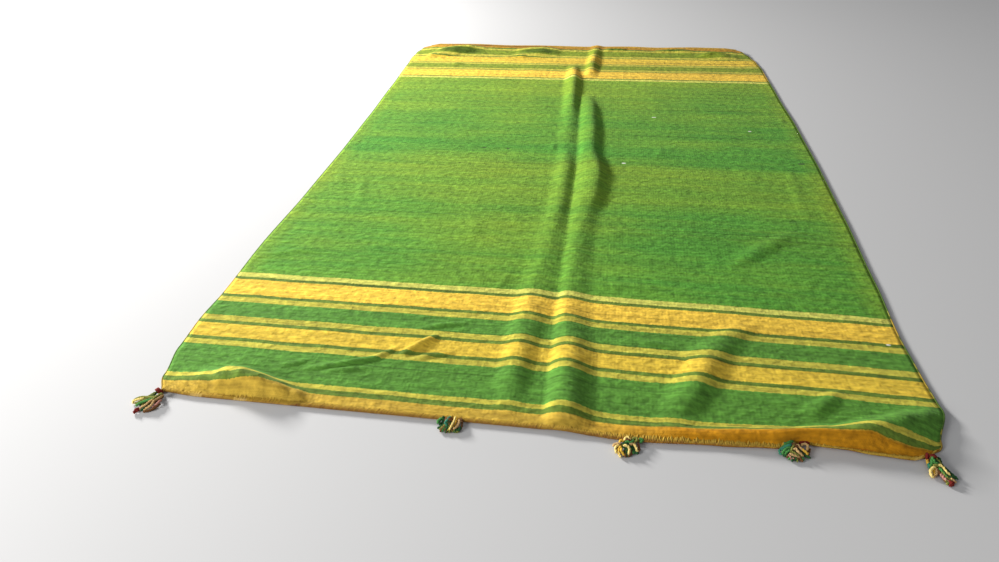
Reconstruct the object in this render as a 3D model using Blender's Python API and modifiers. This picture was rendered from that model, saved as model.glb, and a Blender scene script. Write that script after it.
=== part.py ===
"""Hand-woven wool blanket, laid out on a floor with its folds, and five yarn tassels sewn to its near hem.

Places on the cloth are given across it, from the left selvage, and along it, from the near hem.
The blanket lies on z = 0 with its length along Y, and the origin is below the middle of its box.
"""

import math

import bmesh
import bpy
import numpy as np
from mathutils import Matrix, Vector

# Size of the woven cloth, in metres
WIDTH = 1.50
LENGTH = 2.2885
THICK = 0.003
HEM_THICK = 0.005
HEM_DEPTH = 0.006

# Place of the cloth's near left corner, so that the whole object's box is centred on the origin
LEFT_X = -0.750
HEM_Y = -1.118

# How far an uneven selvage or hem reaches into the cloth; a hem that is drawn in more than usual reaches
# at least this many times as far, or else the cloth would double back on itself
SELVAGE_REACH = 0.30
HEM_REACH = 0.06
REACH_PER_DRAW = 2.2

# How far the selvages stray from two straight lines: along, left one, right one
SELVAGES = np.array([
    (0.000, 0.034, -0.034),
    (0.050, 0.016, -0.024),
    (0.135, 0.000, 0.005),
    (0.235, -0.005, 0.000),
    (0.335, 0.000, -0.003),
    (0.535, -0.004, 0.005),
    (0.835, 0.005, 0.012),
    (1.135, 0.008, 0.015),
    (1.435, 0.005, 0.012),
    (1.735, -0.002, 0.002),
    (2.035, -0.010, -0.005),
    (2.135, -0.015, -0.015),
    (2.200, -0.010, -0.030),
    (2.250, 0.008, -0.052),
    (LENGTH, 0.040, -0.078),
])

# How far the near hem is drawn in from a straight line: across, drawn in
NEAR_HEM = np.array([
    (0.00, 0.008),
    (0.10, 0.003),
    (0.80, 0.003),
    (0.95, -0.005),
    (1.10, 0.003),
    (1.19, 0.009),
    (1.25, 0.028),
    (1.31, 0.022),
    (1.38, 0.015),
    (1.44, 0.012),
    (1.47, 0.020),
    (WIDTH, 0.036),
])

# Folds that run along the cloth, a row for each section:
# along, crest across, height, width left of the crest, width right of it
LONG_FOLDS = {
    "left ridge of the middle": np.array([
        (0.000, 0.720, 0.000, 0.045, 0.034),
        (0.060, 0.720, 0.005, 0.045, 0.036),
        (0.140, 0.720, 0.011, 0.045, 0.038),
        (0.230, 0.722, 0.011, 0.045, 0.044),
        (0.320, 0.724, 0.011, 0.045, 0.052),
        (0.410, 0.724, 0.0068, 0.044, 0.056),
        (0.520, 0.738, 0.0060, 0.046, 0.045),
        (0.640, 0.744, 0.0055, 0.045, 0.041),
        (0.830, 0.757, 0.009, 0.043, 0.030),
        (1.060, 0.758, 0.010, 0.043, 0.030),
        (1.230, 0.748, 0.005, 0.042, 0.036),
        (1.430, 0.748, 0.007, 0.045, 0.032),
        (1.630, 0.741, 0.015, 0.045, 0.030),
        (1.880, 0.734, 0.016, 0.046, 0.030),
        (1.980, 0.727, 0.011, 0.038, 0.026),
        (2.080, 0.722, 0.000, 0.030, 0.026),
    ]),
    "right ridge of the middle": np.array([
        (0.000, 0.826, 0.002, 0.038, 0.060),
        (0.028, 0.826, 0.013, 0.038, 0.064),
        (0.055, 0.826, 0.019, 0.037, 0.067),
        (0.158, 0.822, 0.020, 0.034, 0.068),
        (0.240, 0.822, 0.014, 0.033, 0.066),
        (0.310, 0.812, 0.0125, 0.025, 0.066),
        (0.400, 0.809, 0.0075, 0.021, 0.062),
        (0.640, 0.819, 0.0085, 0.029, 0.050),
        (0.790, 0.828, 0.010, 0.038, 0.050),
        (0.870, 0.846, 0.016, 0.056, 0.046),
        (1.030, 0.855, 0.019, 0.064, 0.044),
        (1.100, 0.845, 0.018, 0.055, 0.044),
        (1.180, 0.829, 0.015, 0.040, 0.042),
        (1.380, 0.826, 0.016, 0.044, 0.042),
        (1.560, 0.815, 0.013, 0.042, 0.040),
        (1.660, 0.802, 0.006, 0.034, 0.036),
        (1.720, 0.796, 0.000, 0.030, 0.036),
    ]),
    "far ridge of the middle": np.array([
        (1.900, 0.796, 0.000, 0.026, 0.036),
        (1.970, 0.799, 0.011, 0.032, 0.038),
        (2.080, 0.800, 0.015, 0.034, 0.038),
        (2.180, 0.805, 0.013, 0.036, 0.038),
        (LENGTH, 0.812, 0.006, 0.036, 0.040),
    ]),
    "bulge near the right": np.array([
        (0.010, 1.020, 0.000, 0.050, 0.045),
        (0.055, 1.028, 0.005, 0.052, 0.045),
        (0.105, 1.052, 0.012, 0.058, 0.050),
        (0.185, 1.090, 0.014, 0.062, 0.054),
        (0.245, 1.112, 0.011, 0.062, 0.058),
        (0.305, 1.155, 0.008, 0.058, 0.056),
        (0.370, 1.215, 0.000, 0.050, 0.050),
    ]),
    "pucker in the right field": np.array([
        (0.545, 1.185, 0.000, 0.040, 0.034),
        (0.620, 1.245, 0.007, 0.044, 0.036),
        (0.690, 1.315, 0.007, 0.044, 0.036),
        (0.750, 1.385, 0.000, 0.040, 0.034),
    ]),
}

# How sharp a long fold's foot is on its left and on its right: 0 runs out level, 1 ends in a crease
SHARP_FEET = {"left ridge of the middle": (0.0, 0.5), "right ridge of the middle": (0.6, 0.0)}

# Folds that run across the cloth, a row for each section:
# across, crest along, height, width on the hem's side of the crest, width beyond it
CROSS_FOLDS = {
    "hump at the near left": np.array([
        (0.020, 0.030, 0.000, 0.030, 0.040),
        (0.060, 0.040, 0.005, 0.040, 0.040),
        (0.110, 0.050, 0.013, 0.050, 0.042),
        (0.160, 0.056, 0.030, 0.056, 0.045),
        (0.195, 0.046, 0.037, 0.046, 0.046),
        (0.225, 0.038, 0.036, 0.038, 0.046),
        (0.265, 0.030, 0.026, 0.030, 0.042),
        (0.305, 0.022, 0.013, 0.022, 0.036),
        (0.340, 0.016, 0.000, 0.016, 0.030),
    ]),
    "lift at the near right": np.array([
        (0.870, 0.014, 0.000, 0.014, 0.030),
        (0.960, 0.015, 0.005, 0.015, 0.028),
        (1.060, 0.019, 0.010, 0.019, 0.028),
        (1.150, 0.024, 0.016, 0.024, 0.030),
        (1.220, 0.028, 0.021, 0.028, 0.036),
        (1.300, 0.036, 0.027, 0.036, 0.046),
        (1.370, 0.053, 0.034, 0.053, 0.054),
        (1.420, 0.076, 0.030, 0.076, 0.054),
        (1.460, 0.096, 0.018, 0.090, 0.048),
        (WIDTH, 0.116, 0.005, 0.090, 0.042),
    ]),
    "curled far edge": np.array([
        (0.000, LENGTH, 0.010, 0.120, 0.020),
        (0.060, LENGTH, 0.017, 0.150, 0.020),
        (0.250, LENGTH, 0.018, 0.170, 0.020),
        (0.420, LENGTH, 0.014, 0.160, 0.020),
        (0.560, LENGTH, 0.015, 0.160, 0.020),
        (0.760, LENGTH, 0.012, 0.150, 0.020),
        (0.950, LENGTH, 0.015, 0.150, 0.020),
        (1.080, LENGTH, 0.012, 0.140, 0.020),
        (1.230, LENGTH, 0.015, 0.140, 0.020),
        (1.400, LENGTH, 0.013, 0.130, 0.020),
        (WIDTH, LENGTH, 0.008, 0.110, 0.020),
    ]),
    "far wave on the left": np.array([
        (0.040, 2.150, 0.000, 0.060, 0.050),
        (0.100, 2.185, 0.010, 0.060, 0.050),
        (0.165, 2.200, 0.014, 0.062, 0.052),
        (0.220, 2.215, 0.009, 0.060, 0.050),
        (0.275, 2.230, 0.000, 0.050, 0.045),
    ]),
    "far wave left of the middle": np.array([
        (0.430, 2.165, 0.000, 0.050, 0.050),
        (0.500, 2.185, 0.008, 0.055, 0.050),
        (0.565, 2.200, 0.012, 0.058, 0.050),
        (0.620, 2.205, 0.006, 0.055, 0.048),
        (0.670, 2.210, 0.000, 0.050, 0.045),
    ]),
    "far wave on the right": np.array([
        (1.250, 2.215, 0.000, 0.045, 0.040),
        (1.310, 2.205, 0.006, 0.050, 0.042),
        (1.365, 2.195, 0.010, 0.052, 0.045),
        (1.415, 2.185, 0.005, 0.050, 0.045),
        (1.450, 2.180, 0.000, 0.045, 0.045),
    ]),
}

# Where the sheet's grid lines lie, closer where it folds: from, to, number of strips
COLUMN_STRIPS = [(0.00, 0.36, 10), (0.36, 0.66, 5), (0.66, 0.92, 17), (0.92, 1.24, 9), (1.24, WIDTH, 9)]
ROW_STRIPS = [
    (0.000, HEM_DEPTH, 1), (HEM_DEPTH, 0.100, 8), (0.100, 0.360, 8), (0.360, 0.520, 2),
    (0.520, 0.760, 4), (0.760, 2.050, 14), (2.050, LENGTH, 12),
]

# Tassels: name, place across, heading in degrees, gap from the hem's line to the head where the hem's own
# lean and thickness are allowed for, reach from the middle of the head, yarn ends to each side of the
# heading, and how much of the fan's angle is left at the tips
TASSELS = [
    ("tassel_left_corner", 0.004, -118.0, 0.0008, 0.050, 4, 0.30),
    ("tassel_left", 0.620, -92.0, -0.0002, 0.031, 5, 1.00),
    ("tassel_middle", 0.943, -98.0, 0.0005, 0.036, 5, 1.00),
    ("tassel_right", 1.228, -94.0, 0.0045, 0.033, 5, 1.00),
    ("tassel_right_corner", 1.476, -76.0, -0.0003, 0.052, 3, 0.22),
]
HEAD_RADIUS = 0.009
HEAD_HEIGHT = 0.014
HEAD_SEGMENTS = 24
HEAD_RINGS = 8
YARN = 0.0045
YARN_ROOT = 0.72
YARN_STEPS = 6
LAYER_GAP = 0.0007
LENGTH_SPREAD = 0.12

# Colours of the dyed wool
GREEN_WOOL = (0.095, 0.235, 0.035)
TASSEL_WOOL = (0.190, 0.220, 0.040)
WOOL_ROUGHNESS = 0.95


def clear_scene():
    for old in list(bpy.data.objects):
        bpy.data.objects.remove(old, do_unlink=True)


def wool(name, colour):
    """A matt dyed wool."""
    material = bpy.data.materials.new(name)
    material.use_nodes = True
    shader = material.node_tree.nodes["Principled BSDF"]
    shader.inputs["Base Color"].default_value = (*colour, 1.0)
    shader.inputs["Roughness"].default_value = WOOL_ROUGHNESS
    shader.inputs["Metallic"].default_value = 0.0
    return material


def eased(at, knots, values):
    """Goes from each row's value to the next with a level start and end, and stays level past the ends."""
    after = np.clip(np.searchsorted(knots, at), 1, len(knots) - 1)
    part = np.clip((at - knots[after - 1]) / (knots[after] - knots[after - 1]), 0.0, 1.0)
    return values[after - 1] + (values[after] - values[after - 1]) * part * part * (3.0 - 2.0 * part)


def fold_height(run, cross, rows, sharp=(0.0, 0.0)):
    """Height of one fold: on each side of its wandering crest half a cosine wave, or part of an arch."""
    crest = np.interp(run, rows[:, 0], rows[:, 1])
    height, before, after = (eased(run, rows[:, 0], rows[:, k]) for k in (2, 3, 4))
    from_crest = cross - crest
    share = np.abs(from_crest) / np.where(from_crest < 0.0, before, after)
    inside = (run >= rows[0, 0]) & (run <= rows[-1, 0]) & (share < 1.0)
    wave = 0.5 + 0.5 * np.cos(np.pi * np.minimum(share, 1.0))
    arch = 1.0 - np.minimum(share, 1.0) ** 2
    wave = wave + np.where(from_crest < 0.0, *sharp) * (arch - wave)
    return np.where(inside, height * wave, 0.0)


def cloth_place(across, along):
    """Where the underside of the cloth lies, for arrays of places across and along it."""
    left = eased(along, SELVAGES[:, 0], SELVAGES[:, 1])
    right = eased(along, SELVAGES[:, 0], SELVAGES[:, 2])
    near_left = np.clip(1.0 - across / SELVAGE_REACH, 0.0, 1.0) ** 2
    near_right = np.clip(1.0 - (WIDTH - across) / SELVAGE_REACH, 0.0, 1.0) ** 2
    x = LEFT_X + across + left * near_left + right * near_right
    drawn_in = eased(across, NEAR_HEM[:, 0], NEAR_HEM[:, 1])
    reach = np.maximum(HEM_REACH, REACH_PER_DRAW * drawn_in)
    y = HEM_Y + along + drawn_in * np.clip(1.0 - along / reach, 0.0, 1.0) ** 2
    z = np.zeros_like(x)
    for name, rows in LONG_FOLDS.items():
        z = z + fold_height(along, across, rows, SHARP_FEET.get(name, (0.0, 0.0)))
    for rows in CROSS_FOLDS.values():
        z = z + fold_height(across, along, rows)
    return x, y, z


def grid_lines(strips):
    """Evenly spaced lines within each stretch of strips."""
    lines = [np.linspace(start, end, count, endpoint=False) for start, end, count in strips]
    return np.append(np.concatenate(lines), strips[-1][1])


def make_cloth(collection):
    """A grid laid on the folds, thickened upwards, with a thicker strip at the whipped near hem."""
    columns, rows = grid_lines(COLUMN_STRIPS), grid_lines(ROW_STRIPS)
    bpy.ops.mesh.primitive_grid_add(
        x_subdivisions=len(columns) - 1, y_subdivisions=len(rows) - 1, size=1.0, location=(0, 0, 0))
    cloth = bpy.context.object
    cloth.name = cloth.data.name = "woven_cloth"
    flat = np.empty(len(cloth.data.vertices) * 3)
    cloth.data.vertices.foreach_get("co", flat)
    flat = flat.reshape(-1, 3)
    column = np.rint((flat[:, 0] + 0.5) * (len(columns) - 1)).astype(int)
    row = np.rint((flat[:, 1] + 0.5) * (len(rows) - 1)).astype(int)
    laid = np.stack(cloth_place(columns[column], rows[row]), axis=-1)
    cloth.data.vertices.foreach_set("co", laid.ravel())

    thickness = cloth.vertex_groups.new(name="thickness")
    hem = rows[row] <= HEM_DEPTH / 2
    thickness.add(np.flatnonzero(hem).tolist(), 1.0, "REPLACE")
    thickness.add(np.flatnonzero(~hem).tolist(), THICK / HEM_THICK, "REPLACE")
    solid = cloth.modifiers.new("thickness", "SOLIDIFY")
    solid.thickness = HEM_THICK
    solid.offset = 1.0
    solid.vertex_group = thickness.name

    cloth.data.polygons.foreach_set("use_smooth", [True] * len(cloth.data.polygons))
    cloth.data.materials.append(wool("green wool", GREEN_WOOL))
    for old in list(cloth.users_collection):
        old.objects.unlink(cloth)
    collection.objects.link(cloth)
    return cloth


def grow_yarn(bm, face, reach, drawn_together, end_height, arched):
    """Draws one face of the head out into a four-sided yarn end that comes down and lies level."""
    centre = face.calc_center_median()
    angle = math.atan2(centre.y, centre.x)
    root = Vector((centre.x, centre.y, 0.0))
    tip = Vector((math.cos(angle * drawn_together), math.sin(angle * drawn_together), 0.0)) * reach
    sideways = Vector((root.y - tip.y, tip.x - root.x, 0.0)).normalized()
    corners = []
    for vert in face.verts:
        offset = vert.co - centre
        corners.append((math.copysign(1.0, offset.dot(sideways)), math.copysign(1.0, offset.z)))
    half = YARN / 2
    for step in range(1, YARN_STEPS + 1):
        part = step / YARN_STEPS
        fall = 1.0 - part ** 2 if arched else (1.0 - part) ** 3
        height = end_height + (centre.z - end_height) * fall
        swell = YARN_ROOT + (1.0 - YARN_ROOT) * min(1.0, 3.0 * part)
        face = bmesh.ops.extrude_discrete_faces(bm, faces=[face])["faces"][0]
        middle = root.lerp(tip, part) + Vector((0.0, 0.0, height))
        for vert, (side, up) in zip(face.verts, corners):
            vert.co = middle + sideways * (side * half * swell) + Vector((0.0, 0.0, up * half))


def make_tassel(collection, name, across, heading, clear, reach, ends, drawn_together, seed):
    """A wound head that meets the hem, with yarn ends fanned out from its front in two tiers."""
    rng = np.random.default_rng(seed)
    bm = bmesh.new()
    bmesh.ops.create_uvsphere(bm, u_segments=HEAD_SEGMENTS, v_segments=HEAD_RINGS, radius=1.0)
    bmesh.ops.scale(bm, vec=(HEAD_RADIUS, HEAD_RADIUS, HEAD_HEIGHT / 2), verts=bm.verts)
    bmesh.ops.translate(bm, vec=(0.0, 0.0, HEAD_HEIGHT / 2), verts=bm.verts)
    bmesh.ops.rotate(bm, matrix=Matrix.Rotation(math.pi / HEAD_SEGMENTS, 3, "Z"), verts=bm.verts)

    # The lower tier leaves just below the head's waist, the upper tier above it and between the others
    segment = 2.0 * math.pi / HEAD_SEGMENTS
    ring = 180.0 / HEAD_RINGS
    chosen = []
    for face in bm.faces:
        centre = face.calc_center_median()
        place = round(math.atan2(centre.y, centre.x) / segment)
        latitude = math.degrees(math.asin(2.0 * centre.z / HEAD_HEIGHT - 1.0))
        in_lower = abs(place) <= ends and (place - ends) % 2 == 0
        in_upper = abs(place) < ends and (place - ends) % 2 == 1
        if in_lower and -ring < latitude < 0.0:
            chosen.append((0, place, face))
        elif in_upper and ring < latitude < 2.0 * ring:
            chosen.append((1, place, face))

    # Ends that are drawn together lie in two layers, and ends that fan out all come down to the floor
    upper_rest = YARN / 2 if drawn_together == 1.0 else 1.5 * YARN + LAYER_GAP
    for tier, _, face in sorted(chosen, key=lambda item: item[:2]):
        length = reach * (1.0 - LENGTH_SPREAD * rng.random())
        grow_yarn(bm, face, length, drawn_together, upper_rest if tier else YARN / 2, tier == 1)
    bmesh.ops.recalc_face_normals(bm, faces=bm.faces)

    mesh = bpy.data.meshes.new(name)
    bm.to_mesh(mesh)
    bm.free()
    mesh.shade_smooth()
    mesh.set_sharp_from_angle(angle=math.radians(50.0))
    mesh.materials.append(wool(name + " wool", TASSEL_WOOL))
    tassel = bpy.data.objects.new(name, mesh)
    collection.objects.link(tassel)

    hem_x, hem_y, _ = (float(v[0]) for v in cloth_place(np.array([across]), np.array([0.0])))
    turn = math.radians(heading)
    out = HEAD_RADIUS + clear
    tassel.location = (hem_x + out * math.cos(turn), hem_y + out * math.sin(turn), 0.0)
    tassel.rotation_euler = (0.0, 0.0, turn)
    return tassel


def main():
    clear_scene()
    blanket = bpy.data.collections.new("blanket")
    bpy.context.scene.collection.children.link(blanket)
    make_cloth(blanket)
    for seed, row in enumerate(TASSELS):
        make_tassel(blanket, *row, seed)


main()
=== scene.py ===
# %% [markdown]
# # A striped wool blanket, laid out on the floor
#
# The real thing is one length of weft-faced flat weave: green wool with groups of yellow stripes at both
# ends, whipped over by hand along its hems, with five small yarn tassels sewn to the near one. It was
# folded for a long time, so soft ridges run along its middle, and a corner and a few places stand up.
#
# The lesson builds it from three kinds of surface: a grid that is laid on a table of folds, a profile that
# is carried along a path (selvages, stitches, yarn), and the shader patterns that dye and weave them.
# Everything is in metres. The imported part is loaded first, and every piece is laid in its frame.

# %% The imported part
import math

import bpy
import numpy as np
from mathutils import Matrix, Vector


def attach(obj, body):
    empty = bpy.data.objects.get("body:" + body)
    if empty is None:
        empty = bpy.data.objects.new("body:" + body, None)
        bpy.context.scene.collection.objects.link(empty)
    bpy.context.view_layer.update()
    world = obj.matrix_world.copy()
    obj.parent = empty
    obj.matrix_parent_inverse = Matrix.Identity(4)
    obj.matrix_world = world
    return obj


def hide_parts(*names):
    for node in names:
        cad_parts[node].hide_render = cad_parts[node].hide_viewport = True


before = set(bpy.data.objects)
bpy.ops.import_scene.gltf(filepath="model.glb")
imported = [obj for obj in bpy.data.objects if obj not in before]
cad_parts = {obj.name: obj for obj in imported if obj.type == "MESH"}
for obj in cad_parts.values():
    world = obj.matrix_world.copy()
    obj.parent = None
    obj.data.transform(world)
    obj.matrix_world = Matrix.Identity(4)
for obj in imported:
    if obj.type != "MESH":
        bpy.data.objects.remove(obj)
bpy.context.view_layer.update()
print("solids:", ", ".join(sorted(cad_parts)))

# %% [markdown]
# ## The cloth's own coordinates
#
# Cloth is easiest to think of flat. Every place on it has two numbers: how far **across** it lies from the
# left selvage, and how far **along** it lies from the near hem. Stripes, creases, stitches and tassels are
# all placed by these two numbers, and one function then says where such a place lies in the room.

# %% Size of the cloth
WIDTH = 1.50
LENGTH = 2.2885
THICK = 0.003
HEM_THICK = 0.005
HEM_DEPTH = 0.006
LEFT_X = -0.750
HEM_Y = -1.118
SELVAGE_REACH = 0.30
HEM_REACH = 0.06
REACH_PER_DRAW = 2.2

# %% [markdown]
# ## Outline
#
# No hand-woven edge is straight: the loom's tension and years of use draw it in and out by a few
# millimetres to a few centimetres. The tables give that in a few places, and an eased curve joins them.
# Where the hem is drawn in most, the effect reaches further in, or the cloth would double back on itself.

# %% How far the edges stray from straight lines
# Along, left selvage, right selvage
SELVAGES = np.array([
    (0.000, 0.034, -0.034), (0.050, 0.016, -0.024), (0.135, 0.000, 0.005), (0.235, -0.005, 0.000),
    (0.335, 0.000, -0.003), (0.535, -0.004, 0.005), (0.835, 0.005, 0.012), (1.135, 0.008, 0.015),
    (1.435, 0.005, 0.012), (1.735, -0.002, 0.002), (2.035, -0.010, -0.005), (2.135, -0.015, -0.015),
    (2.200, -0.010, -0.030), (2.250, 0.008, -0.052), (LENGTH, 0.040, -0.078),
])
# Across, how far the near hem is drawn in
NEAR_HEM = np.array([
    (0.00, 0.008), (0.10, 0.003), (0.80, 0.003), (0.95, -0.005), (1.10, 0.003), (1.19, 0.009),
    (1.25, 0.028), (1.31, 0.022), (1.38, 0.015), (1.44, 0.012), (1.47, 0.020), (WIDTH, 0.036),
])

# %% [markdown]
# ## Main folds
#
# A fold in thick wool is a soft ridge: it rises, wanders and dies away. Each one is a short table. Between
# its rows the crest, the height and the width on either side change smoothly, and across the fold the
# height follows half a cosine wave, which starts and ends level as bent cloth does. A cloth simulation
# would give folds too, but never these ones: here the crests can be put where the real ones lie.

# %% Folds that run along the cloth
# Along, crest across, height, width left of the crest, width right of it
LONG_FOLDS = {
    "left ridge of the middle": np.array([
        (0.000, 0.720, 0.000, 0.045, 0.034), (0.060, 0.720, 0.005, 0.045, 0.036),
        (0.140, 0.720, 0.011, 0.045, 0.038), (0.230, 0.722, 0.011, 0.045, 0.044),
        (0.320, 0.724, 0.011, 0.045, 0.052), (0.410, 0.724, 0.0068, 0.044, 0.056),
        (0.520, 0.738, 0.0060, 0.046, 0.045), (0.640, 0.744, 0.0055, 0.045, 0.041),
        (0.830, 0.757, 0.009, 0.043, 0.030), (1.060, 0.758, 0.010, 0.043, 0.030),
        (1.230, 0.748, 0.005, 0.042, 0.036), (1.430, 0.748, 0.007, 0.045, 0.032),
        (1.630, 0.741, 0.015, 0.045, 0.030), (1.880, 0.734, 0.016, 0.046, 0.030),
        (1.980, 0.727, 0.011, 0.038, 0.026), (2.080, 0.722, 0.000, 0.030, 0.026),
    ]),
    "right ridge of the middle": np.array([
        (0.000, 0.826, 0.002, 0.038, 0.060), (0.028, 0.826, 0.013, 0.038, 0.064),
        (0.055, 0.826, 0.019, 0.037, 0.067), (0.158, 0.822, 0.020, 0.034, 0.068),
        (0.240, 0.822, 0.014, 0.033, 0.066), (0.310, 0.812, 0.0125, 0.025, 0.066),
        (0.400, 0.809, 0.0075, 0.021, 0.062), (0.640, 0.819, 0.0085, 0.029, 0.050),
        (0.790, 0.828, 0.010, 0.038, 0.050), (0.870, 0.846, 0.016, 0.056, 0.046),
        (1.030, 0.855, 0.019, 0.064, 0.044), (1.100, 0.845, 0.018, 0.055, 0.044),
        (1.180, 0.829, 0.015, 0.040, 0.042), (1.380, 0.826, 0.016, 0.044, 0.042),
        (1.560, 0.815, 0.013, 0.042, 0.040), (1.660, 0.802, 0.006, 0.034, 0.036),
        (1.720, 0.796, 0.000, 0.030, 0.036),
    ]),
    "far ridge of the middle": np.array([
        (1.900, 0.796, 0.000, 0.026, 0.036), (1.970, 0.799, 0.011, 0.032, 0.038),
        (2.080, 0.800, 0.015, 0.034, 0.038), (2.180, 0.805, 0.013, 0.036, 0.038),
        (LENGTH, 0.812, 0.006, 0.036, 0.040),
    ]),
    "bulge near the right": np.array([
        (0.010, 1.020, 0.000, 0.050, 0.045), (0.055, 1.028, 0.005, 0.052, 0.045),
        (0.105, 1.052, 0.012, 0.058, 0.050), (0.185, 1.090, 0.014, 0.062, 0.054),
        (0.245, 1.112, 0.011, 0.062, 0.058), (0.305, 1.155, 0.008, 0.058, 0.056),
        (0.370, 1.215, 0.000, 0.050, 0.050),
    ]),
    "pucker in the right field": np.array([
        (0.545, 1.185, 0.000, 0.040, 0.034), (0.620, 1.245, 0.007, 0.044, 0.036),
        (0.690, 1.315, 0.007, 0.044, 0.036), (0.750, 1.385, 0.000, 0.040, 0.034),
    ]),
}

# How sharp a fold's foot is on its left and on its right: 0 runs out level, 1 ends in a crease
SHARP_FEET = {"left ridge of the middle": (0.0, 0.5), "right ridge of the middle": (0.95, 0.0)}

# %% Folds that run across the cloth
# Across, crest along, height, width on the hem's side of the crest, width beyond it
CROSS_FOLDS = {
    "hump at the near left": np.array([
        (0.020, 0.030, 0.000, 0.030, 0.040), (0.060, 0.040, 0.005, 0.040, 0.040),
        (0.110, 0.050, 0.013, 0.050, 0.042), (0.160, 0.056, 0.030, 0.056, 0.045),
        (0.195, 0.046, 0.037, 0.046, 0.046), (0.225, 0.038, 0.036, 0.038, 0.046),
        (0.265, 0.030, 0.026, 0.030, 0.042), (0.305, 0.022, 0.013, 0.022, 0.036),
        (0.340, 0.016, 0.000, 0.016, 0.030),
    ]),
    "lift at the near right": np.array([
        (0.870, 0.014, 0.000, 0.014, 0.030), (0.960, 0.015, 0.005, 0.015, 0.028),
        (1.060, 0.019, 0.010, 0.019, 0.028), (1.150, 0.024, 0.016, 0.024, 0.030),
        (1.220, 0.028, 0.021, 0.028, 0.036), (1.300, 0.036, 0.027, 0.036, 0.046),
        (1.370, 0.053, 0.034, 0.053, 0.054), (1.420, 0.076, 0.030, 0.076, 0.054),
        (1.460, 0.096, 0.018, 0.090, 0.048), (WIDTH, 0.116, 0.005, 0.090, 0.042),
    ]),
    "curled far edge": np.array([
        (0.000, LENGTH, 0.010, 0.120, 0.020), (0.060, LENGTH, 0.017, 0.150, 0.020),
        (0.250, LENGTH, 0.018, 0.170, 0.020), (0.420, LENGTH, 0.014, 0.160, 0.020),
        (0.560, LENGTH, 0.015, 0.160, 0.020), (0.760, LENGTH, 0.012, 0.150, 0.020),
        (0.950, LENGTH, 0.015, 0.150, 0.020), (1.080, LENGTH, 0.012, 0.140, 0.020),
        (1.230, LENGTH, 0.015, 0.140, 0.020), (1.400, LENGTH, 0.013, 0.130, 0.020),
        (WIDTH, LENGTH, 0.008, 0.110, 0.020),
    ]),
    "far wave on the left": np.array([
        (0.040, 2.150, 0.000, 0.060, 0.050), (0.100, 2.185, 0.010, 0.060, 0.050),
        (0.165, 2.200, 0.014, 0.062, 0.052), (0.220, 2.215, 0.009, 0.060, 0.050),
        (0.275, 2.230, 0.000, 0.050, 0.045),
    ]),
    "far wave left of the middle": np.array([
        (0.430, 2.165, 0.000, 0.050, 0.050), (0.500, 2.185, 0.008, 0.055, 0.050),
        (0.565, 2.200, 0.012, 0.058, 0.050), (0.620, 2.205, 0.006, 0.055, 0.048),
        (0.670, 2.210, 0.000, 0.050, 0.045),
    ]),
    "far wave on the right": np.array([
        (1.250, 2.215, 0.000, 0.045, 0.040), (1.310, 2.205, 0.006, 0.050, 0.042),
        (1.365, 2.195, 0.010, 0.052, 0.045), (1.415, 2.185, 0.005, 0.050, 0.045),
        (1.450, 2.180, 0.000, 0.045, 0.045),
    ]),
}

# %% The shape of one fold


def eased(at, knots, values):
    """From each knot's value to the next by 3s² − 2s³, which is level at both; level past the ends too."""
    after = np.clip(np.searchsorted(knots, at), 1, len(knots) - 1)
    part = np.clip((at - knots[after - 1]) / (knots[after] - knots[after - 1]), 0.0, 1.0)
    return values[after - 1] + (values[after] - values[after - 1]) * part * part * (3.0 - 2.0 * part)


def fold_height(run, cross, rows, sharp=(0.0, 0.0)):
    """Half the height times one plus cos(π s), s the share of the width; a sharp foot mixes in 1 − s²."""
    crest = np.interp(run, rows[:, 0], rows[:, 1])
    height, before, after = (eased(run, rows[:, 0], rows[:, k]) for k in (2, 3, 4))
    from_crest = cross - crest
    share = np.abs(from_crest) / np.where(from_crest < 0.0, before, after)
    inside = (run >= rows[0, 0]) & (run <= rows[-1, 0]) & (share < 1.0)
    wave = 0.5 + 0.5 * np.cos(np.pi * np.minimum(share, 1.0))
    arch = 1.0 - np.minimum(share, 1.0) ** 2
    wave = wave + np.where(from_crest < 0.0, *sharp) * (arch - wave)
    return np.where(inside, height * wave, 0.0)
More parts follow.
